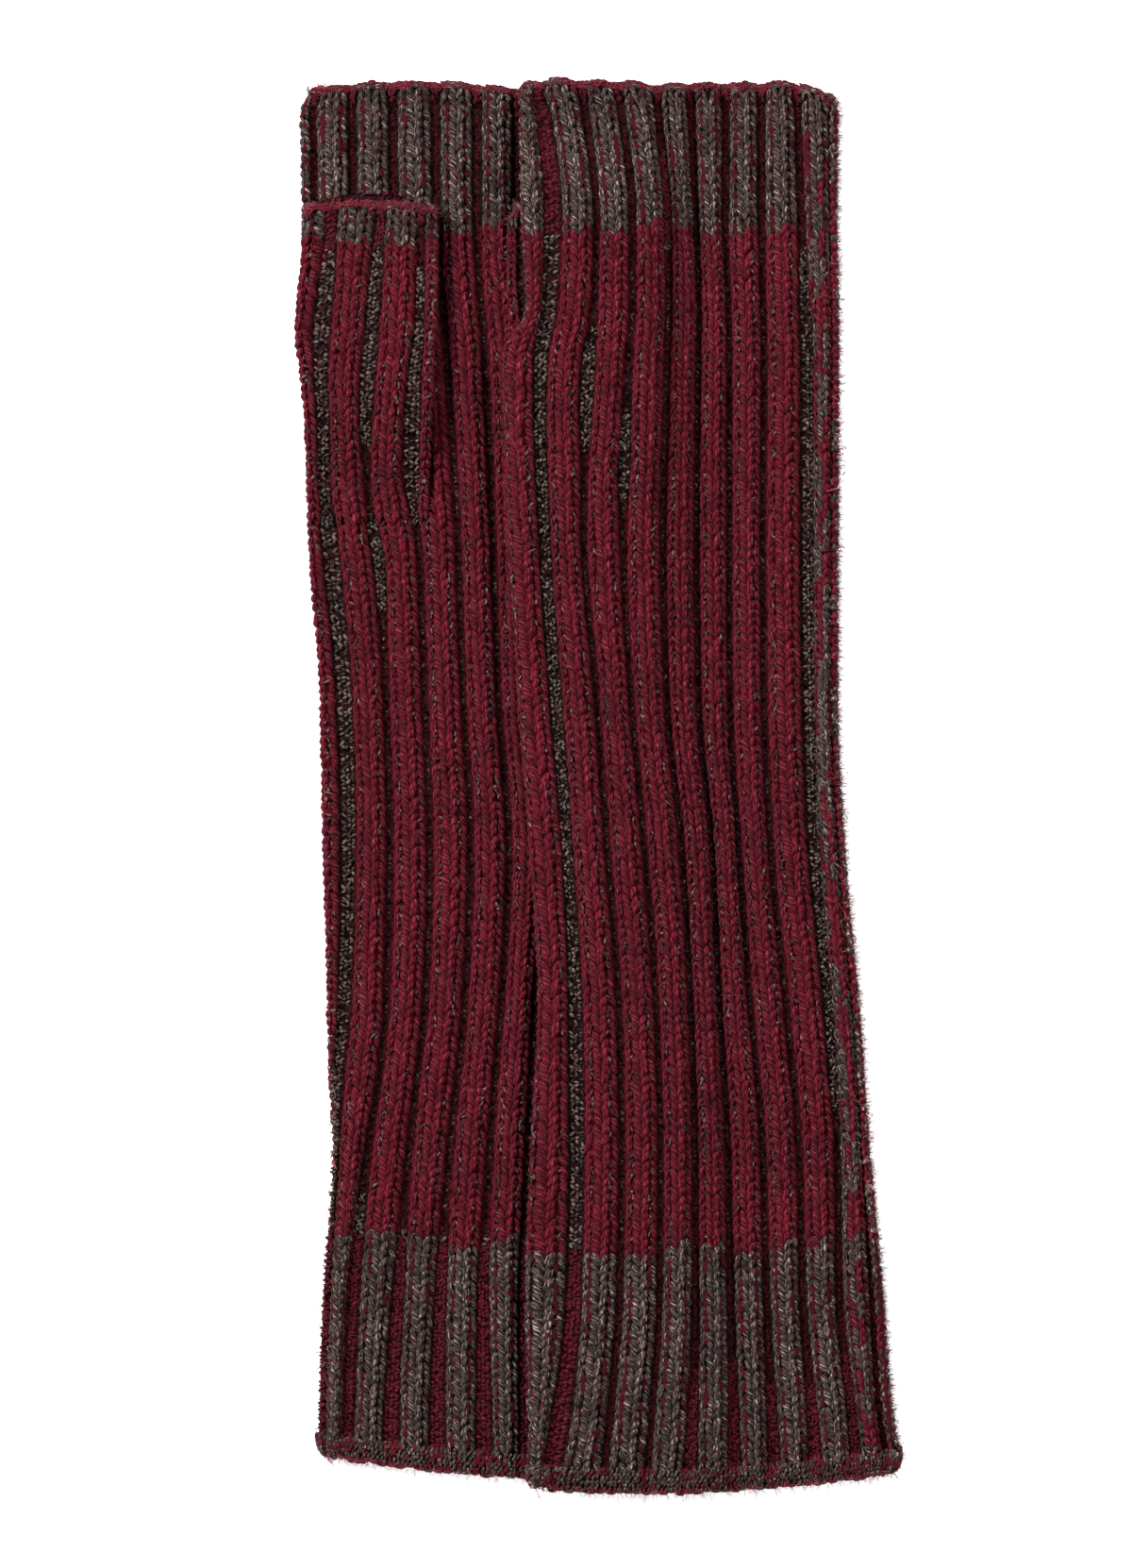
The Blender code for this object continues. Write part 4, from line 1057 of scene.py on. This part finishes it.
def ground_yarn(tube, rows, columns):
    """1 where wine lies between the strands and 0 where grey does, at the shell's points."""
    number, step = np.divmod(np.arange(columns), SHELL_STEPS)
    spans = np.array([tube.span(rib, rows) for rib in number])
    share = (step / SHELL_STEPS)[:, None]
    on_rib = ((share > spans[:, 0]) & (share < spans[:, 1])).T
    band = in_band(tube, rows)[:, None]
    least, more = FURROW_WINE
    return np.where(on_rib, 1.0 - band, least + more * band)


def dimmed(colour, share):
    return tuple(value * share for value in colour[:3]) + (1.0,)


def make_shell(tube):
    """The thin closed cloth of one tube: outer skin, slit walls and both rims."""
    near = np.arange(RIM_ROWS + 1)
    between = np.arange(RIM_ROWS, tube.rows - RIM_ROWS, SHELL_ROW)
    rows = np.unique(np.r_[near, between, tube.rows - near])
    step = SAMPLES // SHELL_STEPS
    outer = tube.skin[rows][:, ::step]
    inner = tube.inner(rows)[:, ::step]
    lines, columns = outer.shape[:2]
    verts = np.concatenate([outer.reshape(-1, 3), inner.reshape(-1, 3)])
    j, i = np.meshgrid(np.arange(lines - 1), np.arange(columns), indexing="ij")
    k = (i + 1) % columns
    a, b, c, d = j * columns + i, j * columns + k, (j + 1) * columns + k, (j + 1) * columns + i
    inside = lines * columns
    i, k, far = i[0], k[0], (lines - 1) * columns
    loops = ((a, d, c, b), (a + inside, b + inside, c + inside, d + inside),
             (i, k, k + inside, i + inside), (far + i, far + i + inside, far + k + inside, far + k))
    quads = np.concatenate([np.stack(loop, -1).reshape(-1, 4) for loop in loops])
    maps = {"OFBake": shell_map(lines, columns)}
    wine = ground_yarn(tube, rows, columns).ravel()
    values = {"band": np.concatenate([wine, 0.5 + 0 * wine])}
    shell = make_piece(tube.name + "_cloth", verts, quads, [yarns()["ground"]],
                       np.zeros(len(quads)), maps, values)
    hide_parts(tube.name)
    return shell


def shell_map(lines, columns):
    """Places of the shell's faces on its flat map, corner by corner: outside, inside, two rims."""
    def patch(j, left, width, low, height, corners):
        j, i = (grid.ravel() for grid in np.meshgrid(j, np.arange(columns), indexing="ij"))
        return np.stack([np.stack([left + width * (i + dx) / columns, low + height * (j + dy)], -1)
                         for dx, dy in corners], 1)

    outward, inward = ((0, 0), (0, 1), (1, 1), (1, 0)), ((0, 0), (1, 0), (1, 1), (0, 1))
    along = np.arange(lines - 1)
    return np.concatenate([
        patch(along, left=0.01, width=0.47, low=0.04, height=0.92 / (lines - 1), corners=outward),
        patch(along, left=0.52, width=0.47, low=0.04, height=0.92 / (lines - 1), corners=inward),
        patch([0], left=0.01, width=0.98, low=0.005, height=0.025, corners=inward),
        patch([0], left=0.01, width=0.98, low=0.97, height=0.025, corners=outward),
    ]).reshape(-1, 2)


def stretches(chance, rows, length, share):
    """A share that comes and goes along the rows, in stretches of about this length."""
    knots = np.arange(-length, MOST_ROWS, length)
    return np.interp(rows, knots, (chance.random(len(knots)) * 2 * share).clip(0, 1))


def patches(chance, rows, length, share):
    """True in patches of about this many rows, which take about this share of them."""
    knots = np.arange(-length, MOST_ROWS, length)
    return np.interp(rows, knots, chance.random(len(knots))) < share


def rib_stitches(tube, skeins, chance, kinds, shape, stand=1.0):
    """The slanted legs of every rib of these kinds, shared out to the two yarns' skeins."""
    knit = sizes()
    first, last = (1, tube.rows - 2) if tube.open_end else (1, tube.rows + 1)
    rows = np.arange(first, last, dtype=float)
    for number, (_, _, kind) in enumerate(tube.ribs):
        if kind not in kinds:
            continue
        start, end = tube.span(number, rows)
        spacing = LEG_SPACING * (end - start)
        shift = chance.integers(0, 2) + np.array((0, chance.choice((0, 0, 0, 1))))
        for leg, column in enumerate((0, 0, 1, 1)):
            side, path = (-1, LEFT_LEG) if leg % 2 == 0 else (1, RIGHT_LEG)
            grey = in_band(tube, rows + shift[column])
            if tube.name == "right_body" and number in MOTTLED_RIBS:
                share = np.where(grey == 1, MOTTLED_BAND, MOTTLED_RIBS[number])
                grey = np.where(patches(chance, rows, 3, share), 1 - grey, grey)
            wobble = chance.normal(0, knit.unevenness, (4, len(rows)))
            middle = number + start + COLUMN_PLACES[column] * (end - start)
            foot = middle + side * spacing * path.foot + wobble[0] * spacing * LEG_SLIP
            tip = middle + side * spacing * path.tip + wobble[1] * spacing * LEG_SLIP
            rib_mm, _ = tube.scale(middle, rows)
            width = np.clip(spacing * rib_mm, *LEG_WIDTHS) * knit.fullness * (1 + wobble[2])
            height = stand * knit.strand_height / MM * (1 + wobble[3])
            mix = rib_mix(leg, rows, grey, chance)
            slip = chance.normal(0, knit.unevenness, len(rows))
            ends = (foot, rows + path.foot_row + slip), (tip, rows + path.tip_row + slip)
            shown = ~tube.covered(middle, rows)
            for yarn in (WINE, GREY):
                skeins[yarn].lay(shape, *ends, width, height, yarn, mix, kept=shown & (grey == yarn))


def rib_mix(leg, rows, grey, chance):
    """How much of the other yarn shows in each leg, from 0 to 1."""
    mix = chance.random(len(rows)) ** 3 * OTHER_YARN + np.where(grey == 1, GREY_MOTTLE, 0.0)
    if leg == 3:
        mix = mix + stretches(chance, rows, *LAST_LEG_STREAKS)
    return mix


def furrow_stitches(tube, skein, chance):
    """Purl bumps on the floors of the furrows on the front: one column, or three on a wide floor."""
    for number, (_, _, kind) in enumerate(tube.ribs):
        following = tube.ribs[(number + 1) % len(tube.ribs)]
        if "under" in (kind, following[2]):
            continue
        for place in (0, -1, 1):
            r = np.arange(BUMP_STEP, tube.rows - (1.0 if tube.open_end else -1.0), BUMP_STEP)
            r = r + BUMP_STEP / 2 * abs(place) + chance.normal(0, 0.1, len(r))
            left, right = 1 - tube.span(number, r)[1], tube.span(number + 1, r)[0]
            left_mm, right_mm = (tube.scale(np.full(len(r), number + 1 + aside), r)[0]
                                 for aside in (-BESIDE, BESIDE))
            width = left * left_mm + right * right_mm
            offset = place * FLOOR_COLUMN * width + chance.normal(0, 0.12, len(r))
            room = np.where(offset < 0, left_mm, right_mm)
            q = number + 1 + (right - left) / 2 + offset / room
            wide = width > MEDIUM_FURROW
            look = Bumps(*np.array(FURROW_BUMPS)[2 * in_band(tube, r) + wide].T)
            longer = np.clip(width / LONG_BUMPS[0], 1.0, LONG_BUMPS[1])
            reach = look.reach * chance.uniform(*BUMP_LENGTHS, len(r)) / room * longer
            tilt = np.where(np.arange(len(r)) % 2, BUMP_TILT, -BUMP_TILT) + chance.normal(0, 0.12, len(r))
            shown = (wide | (place == 0)) & (chance.random(len(r)) < look.often) & ~tube.covered(q, r)
            mix = chance.random(len(r)) ** 3 * BUMP_MIX
            size = chance.uniform(*BUMP_SIZES, len(r)) * look.size
            yarn = np.where(chance.random(len(r)) < look.pale, PALE_GREY, look.yarn)
            skein.lay_at(BUMP, q, r, reach, tilt, size, size * look.height, yarn, mix,
                         base=look.lift, kept=shown)


def flecks(tube, skein, chance):
    """Short floats of the other yarn along the middle of the knit columns."""
    knit = sizes()
    rows = np.arange(1.5, tube.rows - 3, 0.5)
    for number, (_, _, kind) in enumerate(tube.ribs):
        if kind == "under":
            continue
        for place, often in zip(COLUMN_PLACES, FLECKED):
            shown = chance.random(len(rows)) < stretches(chance, rows, 4, knit.fleck_share) * often
            r = rows[shown] + chance.normal(0, 0.15, shown.sum())
            start, end = tube.span(number, r)
            lean = chance.normal(0, 0.024, len(r))
            q = number + start + place * (end - start) + chance.normal(0, 0.02, len(r))
            grey_rib = in_band(tube, r) == 1
            look = either(grey_rib, FLECKS_ON_GREY, FLECKS_ON_WINE)
            size = chance.uniform(*FLECK_LENGTHS, len(r)) * look.size
            thick = chance.uniform(*FLECK_WIDTHS, len(r)) * look.thick
            lift = chance.uniform(*FLECK_LIFTS, len(r)) + look.lift
            mix = chance.random(len(r)) * look.mix + look.least_mix
            pale = chance.random(len(r)) < PALE_FLECKS
            # Flecks on grey ribs take the darkened wine, which is painted shade between the legs.
            yarn = np.where(grey_rib, SHADED_WINE, np.where(pale, PALE_GREY, GREY))
            skein.lay_at(FLECK, q, r, lean, 0.6 * size, thick, 0.4, yarn, mix,
                         base=lift * knit.strand_height / MM, kept=~tube.covered(q, r))


def rim_wave(q):
    """Rows by which a rim bulges at the ribs and draws in at the furrows."""
    return -RIM_WAVE * np.cos(2 * math.pi * q)


def outline(tube):
    """q of the left and the right outline at every row."""
    return np.array([tube.skin[:, :, 0].argmin(1), tube.skin[:, :, 0].argmax(1)]) / SAMPLES


def on_kind(tube, q, kind):
    """1 on the ribs of this kind."""
    numbers = [number for number, rib in enumerate(tube.ribs) if rib[2] == kind]
    return np.isin(np.floor(q) % len(tube.ribs), numbers).astype(float)


def hand_rim(tube, skein, chance):
    """The bound-off edge: a wine chain with some grey, rolled over the ribs' ends and the furrows'."""
    places = np.arange(0, len(tube.ribs), CHAIN_STEP)
    for line, (row, lift, width) in enumerate(BOUND_OFF_CHAIN):
        q = places + line * CHAIN_STEP / 2 + chance.normal(0, 0.01, len(places))
        r = row - rim_wave(q) + chance.normal(0, 0.06, len(q))
        under = on_kind(tube, q, "under")
        # The grey's share is larger on the ribs, and in the lines farther in.
        share = (0.1 + 0.35 * np.sin(math.pi * q) ** 2) * (0.5 + 0.4 * line)
        yarn = np.where(patches(chance, 10 * q, 2, share), GREY, WINE)
        skein.lay_at(ROLL, q, r, 0.11, 0.14 if line % 2 else -0.14, width + chance.normal(0, 0.16, len(q)),
                     0.8 + RIM_UNDER * under, yarn, chance.random(len(q)) ** 2 * 0.45,
                     base=lift + 0.4 * on_kind(tube, q, "fold") - RIM_UNDER * under)
    for q, corner in zip(outline(tube)[:, 2], tube.corners):
        count = int(CORNER_LOOPS * corner)
        reach = CORNER_ROWS * corner
        r = chance.uniform(-0.05, reach, count)
        q = q + chance.uniform(-0.3, 0.3, count) * (1 - 0.6 * r / reach)
        scatter_loops(skein, chance, q, r, 0.04, 0.35, (0.8, 1.1), 0.36, 0.5 - 0.1 * r)
    for number in range(len(tube.ribs)):
        left, right = 1 - tube.span(number, 1.0)[1], tube.span(number + 1, 1.0)[0]
        r = chance.uniform(0.15, 1.9, FURROW_END)
        q = number + 1 + chance.uniform(-left, right, FURROW_END) * 0.8
        scatter_loops(skein, chance, q, r, 0.03, 0.4, (0.7, 1.1), 0.4, 0.45 - 0.25 * r)


def scatter_loops(skein, chance, q, r, lean, half_row, widths, other, base):
    """Loops of wine round q and r, which lean to either side and mix in some of the other yarn."""
    lean = chance.normal(0, lean, len(q))
    skein.lay_at(ROLL, q, r, lean, half_row, chance.uniform(*widths, len(q)), 0.8, WINE,
                 chance.random(len(q)) ** 2 * other, base=base)


def forearm_rim(tube, skein, chance):
    """The cast-on edge: a mottled roll, and a mottled cord of longer loops outside it."""
    for line, row in enumerate(CAST_ON_ROLL):
        q = np.arange(0, len(tube.ribs), ROLL_STEP) + (line % 2) * ROLL_STEP / 2
        q = q + chance.normal(0, 0.014, len(q))
        r = tube.rows + row + chance.normal(0, 0.08, len(q)) - 0.4 * rim_wave(q)
        # The wine's share is larger between the ribs, and in the lines farther out.
        share = 0.22 + 0.035 * line + 0.25 * np.cos(math.pi * q) ** 8
        yarn = np.where(patches(chance, 10 * q, 1.4, share), WINE, GREY)
        lean = chance.normal(0.3 if line % 2 else -0.1, 0.1, len(q))
        under = RIM_UNDER * on_kind(tube, q, "under")
        skein.lay(ROLL, (q - 0.02, r + 0.3), (q + 0.02 + 0.1 * lean, r - 0.3),
                  chance.uniform(0.7, 1.0, len(q)), 0.7 + under, yarn,
                  0.05 + chance.random(len(q)) ** 2 * 0.5,
                  base=0.2 + 0.8 * on_kind(tube, q, "fold") - under)
    q = np.arange(0, len(tube.ribs), CORD_STEP)
    q = q + chance.normal(0, 0.02, len(q))
    under = RIM_UNDER * on_kind(tube, q, "under")
    r = tube.rows - 0.02 - 0.7 * rim_wave(q) + chance.normal(0, 0.08, len(q))
    r = r - 0.4 * on_kind(tube, q, "fold")
    yarn = np.where(patches(chance, 10 * q, 2, 0.62), WINE, GREY)
    skein.lay_at(ROLL, q, r, 0.13, 0.05, chance.uniform(1.0, 1.4, len(q)), 0.75 + under, yarn,
                 chance.random(len(q)) ** 2 * 0.5, base=0.15 - under)


def loose_fibres(tube, chance, count):
    """Hairs that stand off the wool all over, and more at the folds and the rims."""
    knit = sizes()
    skein = Skein(tube, chance)
    left, right = (int(count * share) for share in FOLD_FUZZ[tube.name])
    rims, folds = int(count * RIM_FUZZ), left + right
    edges = rims + folds
    total = count + folds
    q = chance.uniform(0, len(tube.ribs), total)
    r = chance.uniform(0, tube.rows, total)
    turn = chance.uniform(0, 2 * math.pi, total)
    far = chance.random(rims) < (0.5 if tube.open_end else 0.0)
    r[:rims] = np.where(far, tube.rows - chance.uniform(-0.2, 0.8, rims), chance.uniform(-0.1, 0.9, rims))
    turn[:rims] = np.where(far, math.pi / 2, -math.pi / 2) + chance.normal(0, 0.7, rims)
    side = (np.arange(folds) >= left).astype(int)
    outward = np.where(side == 1, 1, -1) * np.abs(chance.normal(0.03, 0.05, folds))
    q[rims:edges] = outline(tube)[side, r[rims:edges].astype(int)] + outward
    turn[rims:edges] = np.where(side == 1, 0.0, math.pi) + chance.normal(0, 0.9, folds)
    rib_mm, row_mm = tube.scale(q, r)
    look = either(np.arange(total) < edges, EDGE_HAIRS, OTHER_HAIRS)
    length = knit.fibre_length / MM * np.exp(chance.normal(0, 0.4, total)) * look.length
    grey = (chance.random(total) < look.grey).astype(float)
    stand = chance.uniform(0.4, 0.9, total)
    stand[:edges] = (0.6 + chance.exponential(0.8, edges)).clip(0, 3.0)
    end = (q + np.cos(turn) * length / rib_mm, r + np.sin(turn) * length / row_mm)
    skein.lay(FIBRE, (q, r), end, look.half_width, stand, 0, mix=grey, base=0.55,
              sway=chance.normal(0, 0.35, total))
    return skein.mesh(tube.name + "_fibres", [yarns()["fibre"]])


def knit_tube(name):
    """All pieces of one tube, with its cloth first."""
    this = laid_tube(name)
    knit = sizes()
    chance = np.random.default_rng(knit.seed + sorted(TUBES).index(name))
    shell = make_shell(this)
    wine, grey, floors, rims, under = (Skein(this, chance) for _ in range(5))
    rib_stitches(this, [wine, grey], chance, ("front", "fold"), LEG)
    furrow_stitches(this, floors, chance)
    flecks(this, floors, chance)
    hand_rim(this, rims, chance)
    if this.open_end:
        forearm_rim(this, rims, chance)
    rib_stitches(this, [under, under], chance, ("under",), PLAIN_LEG, stand=0.8)
    spun = yarns()["spun"]
    pieces = [wine.mesh(name + "_wine_stitches", spun[:2]),
              grey.mesh(name + "_grey_stitches", spun[:2]),
              floors.mesh(name + "_furrow_stitches", spun),
              rims.mesh(name + "_rims", spun[:2]),
              under.mesh(name + "_under_stitches", spun[:2])]
    count = knit.fibre_count if this.open_end else knit.fibre_count // THUMB_HAIRS
    pieces.append(loose_fibres(this, chance, count))
    return shell, pieces


class MakeLeftWarmer(bpy.types.Operator):
    """Knit the left arm warmer and the thumb folded over its front"""

    bl_idname = "armwarmers.left_warmer"
    bl_label = "Left Warmer"
    bl_options = {"REGISTER", "UNDO"}

    def execute(self, context):
        shell, pieces = knit_tube("left_body")
        shell, pieces = knit_tube("left_thumb")
        return {"FINISHED"}


class MakeRightWarmer(bpy.types.Operator):
    """Knit the right arm warmer, lapped over the left one, and the thumb tucked behind it"""

    bl_idname = "armwarmers.right_warmer"
    bl_label = "Right Warmer"
    bl_options = {"REGISTER", "UNDO"}

    def execute(self, context):
        shell, pieces = knit_tube("right_thumb")
        shell, pieces = knit_tube("right_body")
        return {"FINISHED"}


class MakeStage(bpy.types.Operator):
    """Lay out the pale surface, the soft light and the camera above"""

    bl_idname = "armwarmers.stage"
    bl_label = "Stage"
    bl_options = {"REGISTER", "UNDO"}

    def execute(self, context):
        studio = context.scene.arm_warmer_studio
        context.scene.view_settings.view_transform = "Standard"
        surface = bpy.data.meshes.new("surface")
        corners = [(x * SURFACE_HALF, y * SURFACE_HALF, 0) for x, y in ((-1, -1), (1, -1), (1, 1), (-1, 1))]
        surface.from_pydata(corners, [], [(0, 1, 2, 3)])
        shader = Shader("pale_surface")
        grain = shader.noise(shader.on_object(), 240.0, 3.0)
        shader.feed("Base Color", shader.mix(grain * 0.04, tuple(studio.surface), (0.86, 0.86, 0.86, 1.0)))
        shader.feed("Roughness", 0.9)
        shader.feed("Emission Color", (1.0, 1.0, 1.0, 1.0))
        shader.feed("Emission Strength", studio.glow)
        surface.materials.append(shader.material)
        thing = placed("surface", surface)
        self.light_scene(context, studio)
        self.place_camera(context, studio)
        return {"FINISHED"}

    def light_scene(self, context, studio):
        world = bpy.data.worlds.new("even_light")
        world.use_nodes = True
        background = world.node_tree.nodes["Background"]
        background.inputs["Color"].default_value = (1.0, 1.0, 1.0, 1.0)
        background.inputs["Strength"].default_value = studio.sky
        context.scene.world = world
        for name, place, share in LAMPS:
            lamp = bpy.data.lights.new(name, "AREA")
            lamp.size = LAMP_SIZE
            lamp.energy = studio.key * share
            thing = placed(name, lamp)
            thing.location = place
            thing.rotation_euler = (-Vector(place)).to_track_quat("-Z", "Y").to_euler()
            thing.visible_camera = False

    def place_camera(self, context, studio):
        camera = bpy.data.cameras.new("above")
        camera.lens = studio.lens
        camera.sensor_width = SENSOR_WIDTH
        camera.clip_start = 10 * MM
        thing = placed("above", camera)
        thing.location = (FRAME_CENTRE[0] * MM, FRAME_CENTRE[1] * MM, studio.height)
        context.scene.camera = thing


class ArmWarmersPanel(bpy.types.Panel):
    """Lists the pieces and their settings"""

    bl_idname = "VIEW3D_PT_arm_warmers"
    bl_label = "Arm Warmers"
    bl_space_type = "VIEW_3D"
    bl_region_type = "UI"
    bl_category = "Arm Warmers"

    def draw(self, context):
        scene = context.scene
        for group, names in ((scene.arm_warmer_yarn, YarnColours.__annotations__),
                             (scene.arm_warmer_knit, KnitSizes.__annotations__),
                             (scene.arm_warmer_studio, StudioSettings.__annotations__)):
            box = self.layout.box()
            for name in names:
                box.prop(group, name)
        for maker in OPERATORS:
            self.layout.operator(maker.bl_idname)


GROUPS = {"arm_warmer_yarn": YarnColours, "arm_warmer_knit": KnitSizes, "arm_warmer_studio": StudioSettings}
OPERATORS = (MakeStage, MakeLeftWarmer, MakeRightWarmer)


def register():
    for made in (*GROUPS.values(), *OPERATORS, ArmWarmersPanel):
        bpy.utils.register_class(made)
    for name, group in GROUPS.items():
        setattr(bpy.types.Scene, name, bpy.props.PointerProperty(type=group))


def unregister():
    for name in GROUPS:
        delattr(bpy.types.Scene, name)
    for made in reversed((*GROUPS.values(), *OPERATORS, ArmWarmersPanel)):
        bpy.utils.unregister_class(made)


def corners(box):
    return [[float(value) for value in corner] for corner in box]


def main():
    register()
    bpy.ops.armwarmers.stage()
    bpy.ops.armwarmers.left_warmer()
    bpy.ops.armwarmers.right_warmer()


if __name__ == "__main__":
    main()
